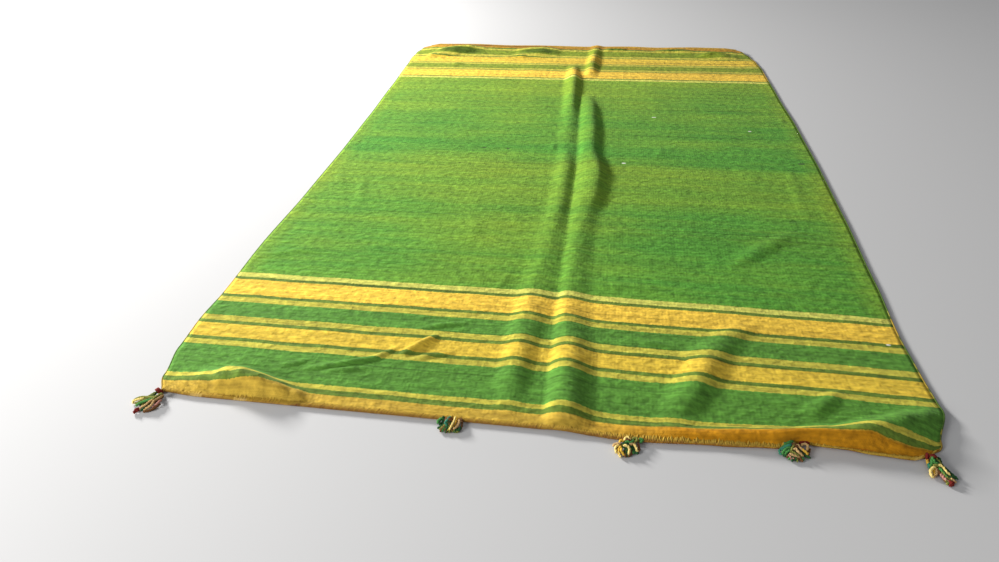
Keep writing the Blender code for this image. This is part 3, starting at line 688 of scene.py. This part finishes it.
# Head's middle in the room, heading in degrees, reach, fan to each side in degrees, thread, yarns
TASSELS = {
    "left_corner": ((-0.7175, -1.1187), -118.0, 0.040, 16.0, "dark red", LEFT_CORNER_YARNS),
    "left": ((-0.1303, -1.1238), -84.0, 0.026, 60.0, "brown", LEFT_YARNS),
    "middle": ((0.1917, -1.1324), -96.0, 0.028, 60.0, "brown", MIDDLE_YARNS),
    "right": ((0.4768, -1.1093), -96.0, 0.028, 62.0, "brown", RIGHT_YARNS),
    "right_corner": ((0.6993, -1.1048), -68.0, 0.044, 14.0, "dark red", RIGHT_CORNER_YARNS),
}
UNDER_YARNS = 11
THREAD_TURNS = 4
THREAD_RADIUS = 0.0012


def under_yarns(heading, reach, fan, draw):
    """Short yarns fanned out below the others: out and down to the floor, evenly turned, a little uneven."""
    turn = math.radians(heading)
    angle = turn + np.radians(np.linspace(-fan, fan, UNDER_YARNS)) + draw.normal(0.0, 0.06, UNDER_YARNS)
    far = reach * (0.78 + 0.22 * draw.random(UNDER_YARNS))
    out = far[:, None] * np.array([-0.05, 0.15, 0.42, 0.72, 1.0])
    high = np.array([0.0062, 0.0066, 0.0052, 0.0034, 0.0024]) + 0.0006 * draw.random((UNDER_YARNS, 1))
    return np.stack([out * np.cos(angle)[:, None], out * np.sin(angle)[:, None], high], axis=-1)


def thread_turns(heading, turns):
    """Rings round the hank, square to its heading, each tilted and set on a little."""
    turn = math.radians(heading)
    ahead, beside = np.array([math.cos(turn), math.sin(turn), 0.0]), np.array([-math.sin(turn), math.cos(turn), 0.0])
    round_it = np.linspace(0.0, 2.06 * np.pi, 21)
    place = -0.0075 + 0.0019 * np.arange(turns)[:, None] + 0.0010 * np.sin(round_it)
    width, height = 0.0074 * np.cos(round_it), 0.0066 + 0.0055 * np.sin(round_it)
    return place[..., None] * ahead + width[:, None] * beside + height[:, None] * np.array([0.0, 0.0, 1.0])


def tassel(name, middle, heading, reach, fan, thread, yarns, seed):
    """All yarns of one tassel and its thread, as one mesh, with each yarn's dye as a number per point."""
    draw = np.random.default_rng(seed)
    shown = np.array([knots for _, knots in yarns]) / 1000.0
    shown_dyes = [DYES.index(dye) for dye, _ in yarns]
    below = under_yarns(heading, reach, fan, draw)
    below_dyes = [(0, 3, 9, 1, 0)[k % 5] for k in range(UNDER_YARNS)]
    ways = smooth_way(np.concatenate([shown, below]), YARN_STEPS)
    ways[..., 2] = np.maximum(ways[..., 2], 1.06 * YARN_RADIUS)
    ways[..., :2] += middle
    radius = YARN_RADIUS * (1.0 + draw.normal(0.0, 0.07, len(ways)))
    points, quads, flat = carry_profile(
        ways, np.array([0.0, 0.0, 1.0]), radius, 12, 2, YARN_LOBE, YARN_TURN)
    dye = np.repeat(np.array(shown_dyes + below_dyes, dtype=float), len(points) // len(ways))

    rings = thread_turns(heading, THREAD_TURNS) + np.array([*middle, 0.0])
    turn = math.radians(heading)
    more_points, more_quads, more_flat = carry_profile(
        rings, np.array([math.cos(turn), math.sin(turn), 0.0]), THREAD_RADIUS, 6)
    quads = np.concatenate([quads, more_quads + len(points)])
    dye = np.concatenate([dye, np.full(len(more_points), float(DYES.index(thread)))])
    piece = mesh_piece(
        "yarn_" + name, np.concatenate([points, more_points]), quads, np.concatenate([flat, more_flat]), dye)
    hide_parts("tassel_" + name)
    return piece


tassels = [tassel(name, *row, seed) for seed, (name, row) in enumerate(TASSELS.items())]

# %% [markdown]
# ## Shader helpers
#
# Three small helpers keep the node recipes readable: one that adds a node and fills or links its inputs,
# one for arithmetic, and one for mixing colours.

# %% Shader helpers


def put(tree, kind, inputs=None):
    """Adds a node; an input that is given a socket is linked, and any other value is set on it."""
    node = tree.nodes.new(kind)
    for key, value in (inputs or {}).items():
        if isinstance(value, bpy.types.NodeSocket):
            tree.links.new(value, node.inputs[key])
        else:
            node.inputs[key].default_value = value
    return node


def maths(tree, operation, *values):
    """One arithmetic node on up to three values or sockets."""
    node = put(tree, "ShaderNodeMath")
    node.operation = operation
    for socket, value in zip(node.inputs, values):
        if isinstance(value, bpy.types.NodeSocket):
            tree.links.new(value, socket)
        else:
            socket.default_value = value
    return node.outputs[0]


def blend(tree, share, first, second, way="MIX"):
    """Mixes two colours by a share from 0 to 1."""
    node = tree.nodes.new("ShaderNodeMix")
    node.data_type = "RGBA"
    node.blend_type = way
    for key, value in ((0, share), (6, first), (7, second)):
        if isinstance(value, bpy.types.NodeSocket):
            tree.links.new(value, node.inputs[key])
        elif key == 0:
            node.inputs[key].default_value = value
        else:
            node.inputs[key].default_value = (*value, 1.0)
    return node.outputs[2]


def noise(tree, place, scale, detail=2.0, roughness=0.5):
    """A noise value around 0.5 at a place."""
    node = put(tree, "ShaderNodeTexNoise", {"Vector": place, "Scale": scale, "Detail": detail,
                                            "Roughness": roughness})
    return node.outputs[0]


def stretched(tree, across_at, along_at, per_across, per_along):
    """A place whose two directions are scaled on their own, for patterns that are longer one way."""
    return put(tree, "ShaderNodeCombineXYZ", {
        0: maths(tree, "MULTIPLY", across_at, per_across),
        1: maths(tree, "MULTIPLY", along_at, per_along),
    }).outputs[0]


def fill_ramp(node, stops):
    """Gives a colour ramp its stops, each a position and a colour."""
    for number, (position, colour) in enumerate(stops):
        steps = node.color_ramp.elements
        step = steps[number] if number < 2 else steps.new(position)
        step.position = position
        step.color = (*colour, 1.0)


def recipe(name, takes, gives):
    """An empty node group with named inputs (name, default) and outputs (name, kind)."""
    tree = bpy.data.node_groups.new(name, "ShaderNodeTree")
    for label, default in takes:
        socket = tree.interface.new_socket(label, in_out="INPUT", socket_type="NodeSocketFloat")
        socket.default_value = default
    for label, kind in gives:
        tree.interface.new_socket(label, in_out="OUTPUT", socket_type=kind)
    return tree, tree.nodes.new("NodeGroupInput").outputs, tree.nodes.new("NodeGroupOutput").inputs


def use(tree, group, inputs):
    """Places a node group in a tree and gives its outputs."""
    node = tree.nodes.new("ShaderNodeGroup")
    node.node_tree = group
    for key, value in inputs.items():
        if isinstance(value, bpy.types.NodeSocket):
            tree.links.new(value, node.inputs[key])
        else:
            node.inputs[key].default_value = value
    return node.outputs


# %% [markdown]
# ## The stripes
#
# A weaver changes the weft's colour after so many picks, so a stripe is a range of the length. The order
# is the same at both ends, mirrored, so the distance to the nearer end picks the colour. A colour ramp with
# hard steps is the weaver's card: one row for each change of yarn. Memory isn't exact, so the far end has
# a card of its own, with a narrower first green and wider yellows.

# %% The weaver's card
GREEN = (0.130, 0.300, 0.045)
BORDER_GREEN = (0.095, 0.255, 0.034)
THIN_GREEN = (0.125, 0.205, 0.028)
YELLOW = (0.700, 0.490, 0.050)
BRIGHT_YELLOW = (0.840, 0.550, 0.060)
LIME = (0.510, 0.460, 0.060)
BRIGHT_LIME = (0.600, 0.590, 0.110)
OCHRE = (0.560, 0.370, 0.048)
# Painted shade of the turned-over hem edge: a darkened ochre
HEM_EDGE_SHADE = (0.420, 0.240, 0.045)
FAR_OCHRE = (0.460, 0.245, 0.024)
FAR_GREEN = (0.205, 0.270, 0.020)
# Distance from the nearer end at which each yarn starts, and its colour; the first row, the hem's outermost 6 mm and
# its front face, is painted shade
CARD = [
    (0.000, HEM_EDGE_SHADE), (0.006, OCHRE), (0.0350, THIN_GREEN), (0.0475, LIME), (0.0615, BORDER_GREEN),
    (0.1505, LIME), (0.1665, THIN_GREEN), (0.1775, YELLOW), (0.2205, THIN_GREEN), (0.2310, LIME),
    (0.2480, BORDER_GREEN), (0.3005, LIME), (0.3170, THIN_GREEN), (0.3285, BRIGHT_YELLOW),
    (0.3870, THIN_GREEN), (0.3985, BRIGHT_LIME), (0.4170, GREEN),
]
FAR_CARD = [
    (0.000, HEM_EDGE_SHADE), (0.006, FAR_OCHRE), (0.0380, THIN_GREEN), (0.0460, LIME), (0.0600, FAR_GREEN),
    (0.1080, LIME), (0.1260, THIN_GREEN), (0.1330, YELLOW), (0.2060, THIN_GREEN), (0.2120, LIME),
    (0.2290, FAR_GREEN), (0.2830, LIME), (0.3000, THIN_GREEN), (0.3070, BRIGHT_YELLOW),
    (0.3900, THIN_GREEN), (0.3980, BRIGHT_LIME), (0.4170, GREEN),
]
CARD_END = 0.45

stripes, given, out = recipe(
    "stripes of the blanket", [("Across", 0.0), ("Along", 0.0)],
    [("Color", "NodeSocketColor"), ("Field", "NodeSocketFloat")])
waver = noise(stripes, stretched(stripes, given["Across"], given["Along"], 9.0, 9.0), 1.0)
fray = noise(stripes, stretched(stripes, given["Across"], given["Along"], 260.0, 90.0), 1.0)
moved = maths(stripes, "ADD", given["Along"], maths(stripes, "MULTIPLY_ADD", waver, 0.006, -0.003))
moved = maths(stripes, "ADD", moved, maths(stripes, "MULTIPLY_ADD", fray, 0.0046, -0.0023))
to_end = maths(stripes, "MINIMUM", moved, maths(stripes, "SUBTRACT", LENGTH, moved))
near_yarn, far_yarn = (
    put(stripes, "ShaderNodeValToRGB", {0: maths(stripes, "DIVIDE", to_end, CARD_END)}) for _ in range(2))
for ramp, card in ((near_yarn, CARD), (far_yarn, FAR_CARD)):
    ramp.color_ramp.interpolation = "CONSTANT"
    fill_ramp(ramp, [(start / CARD_END, colour) for start, colour in card])
far_half = maths(stripes, "GREATER_THAN", moved, LENGTH / 2)
stripes.links.new(blend(stripes, far_half, near_yarn.outputs[0], far_yarn.outputs[0]), out["Color"])
stripes.links.new(maths(stripes, "GREATER_THAN", to_end, CARD[-1][0]), out["Field"])
print("changes of yarn in one end:", len(CARD))

# %% [markdown]
# ## Weave
#
# In a weft-faced weave only the weft shows: short beads, each over one warp, every second row set half a
# step aside. Handspun yarn is thick and thin, which mottles the cloth more than the beads do. The group
# gives a height in millimetres and a factor for the brightness, both from the flat coordinates alone.

# %% Weave group
WARP_PITCH = 0.0042
WEFT_PITCH = 0.0021

weave, given, out = recipe(
    "weft-faced weave", [("Across", 0.0), ("Along", 0.0)],
    [("Height", "NodeSocketFloat"), ("Shade", "NodeSocketFloat")])
wander = noise(weave, stretched(weave, given["Across"], given["Along"], 14.0, 14.0), 1.0)
pick = maths(weave, "DIVIDE", maths(weave, "MULTIPLY_ADD", wander, 0.010, given["Along"]), WEFT_PITCH)
odd = maths(weave, "MULTIPLY", maths(weave, "MODULO", maths(weave, "FLOOR", pick), 2.0), 0.5)
warp = maths(weave, "ADD", maths(weave, "DIVIDE", given["Across"], WARP_PITCH), odd)
bead_long = maths(weave, "ABSOLUTE", maths(weave, "SINE", maths(weave, "MULTIPLY", warp, math.pi)))
bead_wide = maths(weave, "ABSOLUTE", maths(weave, "SINE", maths(weave, "MULTIPLY", pick, math.pi)))
bead = maths(weave, "MULTIPLY", maths(weave, "POWER", bead_long, 0.5), maths(weave, "POWER", bead_wide, 0.5))
slub = noise(weave, stretched(weave, given["Across"], given["Along"], 62.0, 100.0), 1.0, 2.0, 0.45)
mottle = noise(weave, stretched(weave, given["Across"], given["Along"], 38.0, 60.0), 1.0, 2.0, 0.6)
pulled = noise(weave, stretched(weave, given["Across"], given["Along"], 6.0, 130.0), 1.0, 2.0, 0.6)
rib = maths(weave, "SINE", maths(weave, "MULTIPLY", given["Across"], 2.0 * math.pi / 0.0072))
height = maths(weave, "MULTIPLY_ADD", slub, 2.1, maths(weave, "MULTIPLY", bead, 0.36))
height = maths(weave, "MULTIPLY_ADD", mottle, 4.2, height)
height = maths(weave, "MULTIPLY_ADD", pulled, 1.6, height)
weave.links.new(maths(weave, "MULTIPLY_ADD", rib, 0.045, height), out["Height"])
shade = maths(weave, "MULTIPLY_ADD", slub, 1.10, maths(weave, "MULTIPLY_ADD", bead, 0.12, 0.38))
weave.links.new(maths(weave, "MULTIPLY_ADD", mottle, 0.70, maths(weave, "SUBTRACT", shade, 0.35)), out["Shade"])

# %% [markdown]
# ## Streaks of hand-dyed weft
#
# Every hank takes the dye a little differently, and a hank lasts for a few centimetres of cloth. So the
# field has fine streaks a pick or two wide, broad ones, and now and then one dark pick from selvage to
# selvage. The pattern is far longer across the cloth than along it.

# %% Streak group
streaks, given, out = recipe(
    "streaks of hand-dyed weft", [("Across", 0.0), ("Along", 0.0)],
    [("Fine", "NodeSocketFloat"), ("Broad", "NodeSocketFloat"), ("Dark pick", "NodeSocketFloat")])
fine = noise(streaks, stretched(streaks, given["Across"], given["Along"], 3.4, 150.0), 1.0, 3.0, 0.65)
broad = noise(streaks, stretched(streaks, given["Across"], given["Along"], 1.3, 22.0), 1.0, 3.0, 0.6)
lone = noise(streaks, stretched(streaks, given["Across"], given["Along"], 0.5, 62.0), 1.0)
dark_pick = put(streaks, "ShaderNodeMapRange", {0: lone, 1: 0.64, 2: 0.70, 3: 0.0, 4: 1.0}).outputs[0]
streaks.links.new(fine, out["Fine"])
streaks.links.new(broad, out["Broad"])
streaks.links.new(dark_pick, out["Dark pick"])

# %% [markdown]
# ## Finishes
#
# Wool is matt with a faint fuzz at grazing angles, which the shader's sheen gives.

# %% The field's green
FIELD_BLUISH = (0.084, 0.285, 0.031)
FIELD_YELLOWISH = (0.225, 0.345, 0.026)
# Along, how yellowish the hanks are there, from 0 to 1
HANKS = [
    (0.42, 0.30), (0.64, 0.30), (0.70, 0.50), (0.80, 0.30), (0.86, 0.56), (0.95, 0.56), (1.05, 0.74),
    (1.11, 0.42), (1.18, 0.12), (1.22, 0.14), (1.28, 0.34), (1.42, 0.30), (1.52, 0.48), (1.64, 0.58),
    (1.76, 0.76), (1.88, 0.90),
]
# Painted shade on the near hem's face on the right: what is left of red, green, blue
HEM_FACE_SHADE = (0.90, 0.60, 0.16)
# Lint that has settled on the wool and small dark specks in it: across, along, half length, half width, tone
LINT, SPECK = 0.80, 0.03
FLECKS = [
    (1.040, 1.495, 0.008, 0.004, LINT), (0.935, 1.115, 0.007, 0.004, LINT), (1.350, 1.395, 0.006, 0.004, LINT),
    (1.470, 0.325, 0.005, 0.003, LINT), (0.480, 1.195, 0.006, 0.003, SPECK), (0.560, 1.190, 0.005, 0.003, SPECK),
    (1.458, 1.155, 0.010, 0.005, SPECK),
]
# Painted shade near the far edge, in two hollows of its first green band and along the left part of its curled-up
# hem: across, along, half length, half width, what is left of red, green, blue
FAR_EDGE_SHADE = [
    (0.200, 2.206, 0.120, 0.030, (0.32, 0.42, 0.22)), (0.560, 2.208, 0.095, 0.027, (0.36, 0.46, 0.24)),
    (0.370, 2.2885, 0.300, 0.034, (0.52, 0.42, 0.30)),
]


def flat_place(tree, layer="flat"):
    """The piece's own flat coordinates, across and along, from its UV map."""
    uv = tree.nodes.new("ShaderNodeUVMap")
    uv.uv_map = layer
    apart = put(tree, "ShaderNodeSeparateXYZ", {0: uv.outputs[0]})
    return apart.outputs[0], apart.outputs[1]


def wool_shader(material, colour, height, depth, sheen=0.03):
    """A matt fuzzy surface: colour, a bump from the height, rough and with a soft sheen."""
    tree = material.node_tree
    shader = tree.nodes["Principled BSDF"]
    shader.inputs["Roughness"].default_value = 0.95
    shader.inputs["Specular IOR Level"].default_value = 0.12
    shader.inputs["Sheen Weight"].default_value = sheen
    shader.inputs["Sheen Roughness"].default_value = 0.5
    tree.links.new(colour, shader.inputs["Base Color"])
    bump = put(tree, "ShaderNodeBump", {"Strength": 1.0, "Distance": depth, "Height": height})
    tree.links.new(bump.outputs[0], shader.inputs["Normal"])


def new_material(name):
    """An empty material with its shader."""
    material = bpy.data.materials.new(name)
    material.use_nodes = True
    return material


def grey(tree, value):
    """A colour with the same value in red, green and blue, so that a factor can tint a colour."""
    return put(tree, "ShaderNodeCombineColor", {0: value, 1: value, 2: value}).outputs[0]


def to_range(tree, value, low, high, first, second):
    """Takes low to first and high to second, and stays there past both."""
    return put(tree, "ShaderNodeMapRange", {0: value, 1: low, 2: high, 3: first, 4: second}).outputs[0]


def from_spot(tree, across_at, along_at, across_mid, along_mid, half_length, half_width):
    """Square of the distance from a spot's middle, 1 on the rim of its ellipse."""
    off_across = maths(tree, "DIVIDE", maths(tree, "SUBTRACT", across_at, across_mid), half_length)
    off_along = maths(tree, "DIVIDE", maths(tree, "SUBTRACT", along_at, along_mid), half_width)
    return maths(tree, "ADD", maths(tree, "POWER", off_across, 2.0), maths(tree, "POWER", off_along, 2.0))


# %% The striped wool
striped_wool = new_material("striped wool")
tree = striped_wool.node_tree
across_at, along_at = flat_place(tree)
dyed = use(tree, stripes, {"Across": across_at, "Along": along_at})
streaked = use(tree, streaks, {"Across": across_at, "Along": along_at})
woven = use(tree, weave, {"Across": across_at, "Along": along_at})

hank = put(tree, "ShaderNodeValToRGB", {0: maths(tree, "DIVIDE", along_at, LENGTH)})
fill_ramp(hank, [(start / LENGTH, (tone, tone, tone)) for start, tone in HANKS])
patch = noise(tree, stretched(tree, across_at, along_at, 2.2, 5.0), 1.0, 3.0, 0.6)
hue = maths(tree, "MULTIPLY_ADD", patch, 1.1, hank.outputs[0])
hue = maths(tree, "MULTIPLY_ADD", streaked["Broad"], 0.9, hue)
hue = maths(tree, "ADD", hue, to_range(tree, across_at, 0.55, 1.25, -0.93, -1.17))
hue = maths(tree, "ADD", hue, to_range(tree, across_at, 0.25, 0.60, -0.17, 0.0))
to_selvage = maths(tree, "MINIMUM", across_at, maths(tree, "SUBTRACT", WIDTH, across_at))
hue = maths(tree, "ADD", hue, to_range(tree, to_selvage, 0.004, 0.055, 0.40, 0.0))
field = blend(tree, to_range(tree, hue, 0.0, 1.0, 0.0, 1.0), FIELD_BLUISH, FIELD_YELLOWISH)
colour = blend(tree, dyed["Field"], dyed["Color"], field)
# Painted shade: on the right, the near hem's ochre face, which drops from the lift to the floor, is darkened to
# brown
hem_face_shade = maths(tree, "MULTIPLY", to_range(tree, across_at, 0.84, 1.04, 0.0, 1.0),
                to_range(tree, along_at, 0.032, 0.038, 1.0, 0.0))
colour = blend(tree, hem_face_shade, colour, blend(tree, 1.0, colour, HEM_FACE_SHADE, "MULTIPLY"))

shade = maths(tree, "MULTIPLY", woven["Shade"], to_range(tree, streaked["Fine"], 0.2, 0.8, 0.74, 1.26))
shade = maths(tree, "MULTIPLY", shade, to_range(tree, streaked["Broad"], 0.2, 0.8, 0.84, 1.16))
shade = maths(tree, "MULTIPLY", shade, to_range(tree, streaked["Dark pick"], 0.0, 1.0, 1.0, 0.74))
colour = blend(tree, 1.0, colour, grey(tree, shade), "MULTIPLY")
for *spot, tone in FLECKS:
    near = to_range(tree, from_spot(tree, across_at, along_at, *spot), 0.4, 1.2, 0.9, 0.0)
    colour = blend(tree, near, colour, (tone, tone, 0.9 * tone))
# Painted shade in the far edge's hollows and along its curled hem
for *spot, left_over in FAR_EDGE_SHADE:
    near = to_range(tree, from_spot(tree, across_at, along_at, *spot), 0.3, 1.1, 1.0, 0.0)
    colour = blend(tree, near, colour, blend(tree, 1.0, colour, left_over, "MULTIPLY"))
wool_shader(striped_wool, colour, woven["Height"], 0.001)

# %% [markdown]
# ## Edges and yarn
#
# The selvage wears the stripes' colours, darkened. The whipping thread is ochre brown, with paler lengths
# and a few dark red-brown ones, so its colour is a ramp across the cloth. The tassels' yarns carry the
# number of their dye.

# %% Selvage, whipping and tassel yarn
edge_wool = new_material("edge wool")
tree = edge_wool.node_tree
across_at, along_at = flat_place(tree)
dyed = use(tree, stripes, {"Across": across_at, "Along": along_at})
woven = use(tree, weave, {"Across": across_at, "Along": along_at})
colour = blend(tree, 0.45, dyed["Color"], (0.07, 0.04, 0.02))
wool_shader(edge_wool, colour, woven["Height"], 0.001)

OCHRE_THREAD, PALE_THREAD, RED_THREAD = (0.27, 0.13, 0.030), (0.60, 0.42, 0.16), (0.13, 0.035, 0.018)
# Across, colour of the thread from there on
THREAD = [
    (0.00, RED_THREAD), (0.05, OCHRE_THREAD), (0.08, PALE_THREAD), (0.11, OCHRE_THREAD), (0.185, PALE_THREAD),
    (0.215, OCHRE_THREAD), (0.300, RED_THREAD), (0.325, OCHRE_THREAD), (1.195, RED_THREAD),
    (1.255, OCHRE_THREAD), (1.290, PALE_THREAD), (1.330, OCHRE_THREAD), (1.440, PALE_THREAD),
    (1.458, RED_THREAD),
]
whipping_wool = new_material("whipping wool")
tree = whipping_wool.node_tree
across_at, along_at = flat_place(tree)
place_across = put(tree, "ShaderNodeAttribute")
place_across.attribute_name = "dye"
thread = put(tree, "ShaderNodeValToRGB", {0: maths(tree, "DIVIDE", place_across.outputs["Fac"], WIDTH)})
thread.color_ramp.interpolation = "CONSTANT"
fill_ramp(thread, [(start / WIDTH, colour) for start, colour in THREAD])
vary = noise(tree, stretched(tree, place_across.outputs["Fac"], 0.0, 90.0, 1.0), 1.0, 3.0, 0.7)
colour = blend(tree, 1.0, thread.outputs[0], grey(tree, to_range(tree, vary, 0.3, 0.7, 0.62, 1.38)), "MULTIPLY")
colour = blend(tree, to_range(tree, along_at, 0.006, 0.012, 0.85, 0.0), colour, OCHRE)
height = noise(tree, stretched(tree, across_at, along_at, 6.0, 900.0), 1.0)
wool_shader(whipping_wool, colour, height, 0.0003)

YARN_COLOURS = {
    "dark green": (0.022, 0.085, 0.028), "green": (0.070, 0.250, 0.060), "blue green": (0.050, 0.240, 0.150),
    "olive": (0.200, 0.210, 0.045), "yellow": (0.720, 0.440, 0.055), "pale yellow": (0.800, 0.620, 0.210),
    "tan": (0.540, 0.350, 0.150), "pink": (0.520, 0.240, 0.190), "dark red": (0.190, 0.020, 0.015),
    "brown": (0.150, 0.068, 0.025),
}
tassel_yarn = new_material("tassel yarn")
tree = tassel_yarn.node_tree
across_at, along_at = flat_place(tree)
dye = put(tree, "ShaderNodeAttribute")
dye.attribute_name = "dye"
ramp = put(tree, "ShaderNodeValToRGB", {0: maths(tree, "DIVIDE", dye.outputs["Fac"], len(DYES))})
ramp.color_ramp.interpolation = "CONSTANT"
fill_ramp(ramp, [(max(0.0, number - 0.5) / len(DYES), YARN_COLOURS[name]) for number, name in enumerate(DYES)])
height = noise(tree, stretched(tree, across_at, along_at, 6.0, 900.0), 1.0)
colour = blend(tree, 1.0, ramp.outputs[0], grey(tree, to_range(tree, height, 0.2, 0.8, 0.7, 1.3)), "MULTIPLY")
wool_shader(tassel_yarn, colour, height, 0.0004)

# %% Which piece takes which finish
woven_blanket.data.materials.append(striped_wool)
selvage_left.data.materials.append(edge_wool)
selvage_right.data.materials.append(edge_wool)
whipping_near.data.materials.append(whipping_wool)
whipping_far.data.materials.append(whipping_wool)
for piece in tassels:
    piece.data.materials.append(tassel_yarn)
for piece in (woven_blanket, selvage_left, selvage_right, whipping_near, whipping_far, *tassels):
    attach(piece, "root")
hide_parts("woven_cloth")

# %% [markdown]
# ## The studio
#
# A plain pale floor, one soft lamp low on the left, which brings out the folds, a weak one from the near
# side so that no fold goes black, and a pale sky.

# %% Floor
FLOOR_SIZE = 30.0
half = FLOOR_SIZE / 2
floor_points = np.array([(-half, -half, -0.0004), (half, -half, -0.0004), (half, half, -0.0004), (-half, half, -0.0004)])
floor = mesh_piece("studio_floor", floor_points, np.array([[0, 1, 2, 3]]), floor_points[:, :2])
floor_paint = new_material("pale floor")
floor_paint.node_tree.nodes["Principled BSDF"].inputs["Base Color"].default_value = (0.56, 0.56, 0.57, 1.0)
floor_paint.node_tree.nodes["Principled BSDF"].inputs["Roughness"].default_value = 0.9
floor.data.materials.append(floor_paint)

# %% Light
def area_lamp(name, place, target, size, power, colour):
    """A square soft lamp that faces a point."""
    lamp = bpy.data.lights.new(name, "AREA")
    lamp.size = size
    lamp.energy = power
    lamp.color = colour
    holder = bpy.data.objects.new(name, lamp)
    holder.location = place
    facing = (Vector(target) - Vector(place)).to_track_quat("-Z", "Y")
    holder.rotation_euler = facing.to_euler()
    bpy.context.scene.collection.objects.link(holder)
    return holder


area_lamp("key lamp", (-3.6, 1.6, 1.4), (0.1, 0.0, 0.0), 0.7, 390.0, (1.0, 0.985, 0.95))
area_lamp("fill lamp", (-2.4, -2.8, 1.3), (0.1, -0.4, 0.0), 1.2, 80.0, (1.0, 0.99, 0.96))
sky = bpy.data.worlds.new("pale sky")
sky.use_nodes = True
sky.node_tree.nodes["Background"].inputs[0].default_value = (0.98, 0.99, 1.0, 1.0)
sky.node_tree.nodes["Background"].inputs[1].default_value = 0.29
bpy.context.scene.world = sky
bpy.context.scene.view_settings.view_transform = "Standard"

# %% [markdown]
# ## The camera
#
# It stands beyond the tasselled hem, a little right of the middle and less than a metre above the floor,
# and looks down along the cloth. Its place and its three angles were solved from the edges and stripes.

# %% Camera
YAW, PITCH, ROLL = -0.17418, 0.62104, -0.03823
FOCAL_PIXELS = 663.24
IMAGE_WIDTH = 999
forward = Vector((math.sin(YAW) * math.cos(PITCH), math.cos(YAW) * math.cos(PITCH), -math.sin(PITCH)))
level_right = Vector((math.cos(YAW), -math.sin(YAW), 0.0))
level_up = level_right.cross(forward)
right = math.cos(ROLL) * level_right + math.sin(ROLL) * level_up
up = -math.sin(ROLL) * level_right + math.cos(ROLL) * level_up
lens = bpy.data.cameras.new("camera")
lens.sensor_width = 36.0
lens.lens = FOCAL_PIXELS / IMAGE_WIDTH * lens.sensor_width
camera = bpy.data.objects.new("camera", lens)
turned = Matrix((right, up, -forward)).transposed().to_4x4()
camera.matrix_world = Matrix.Translation((0.1167, -1.9333, 0.921)) @ turned
bpy.context.scene.collection.objects.link(camera)
bpy.context.scene.camera = camera
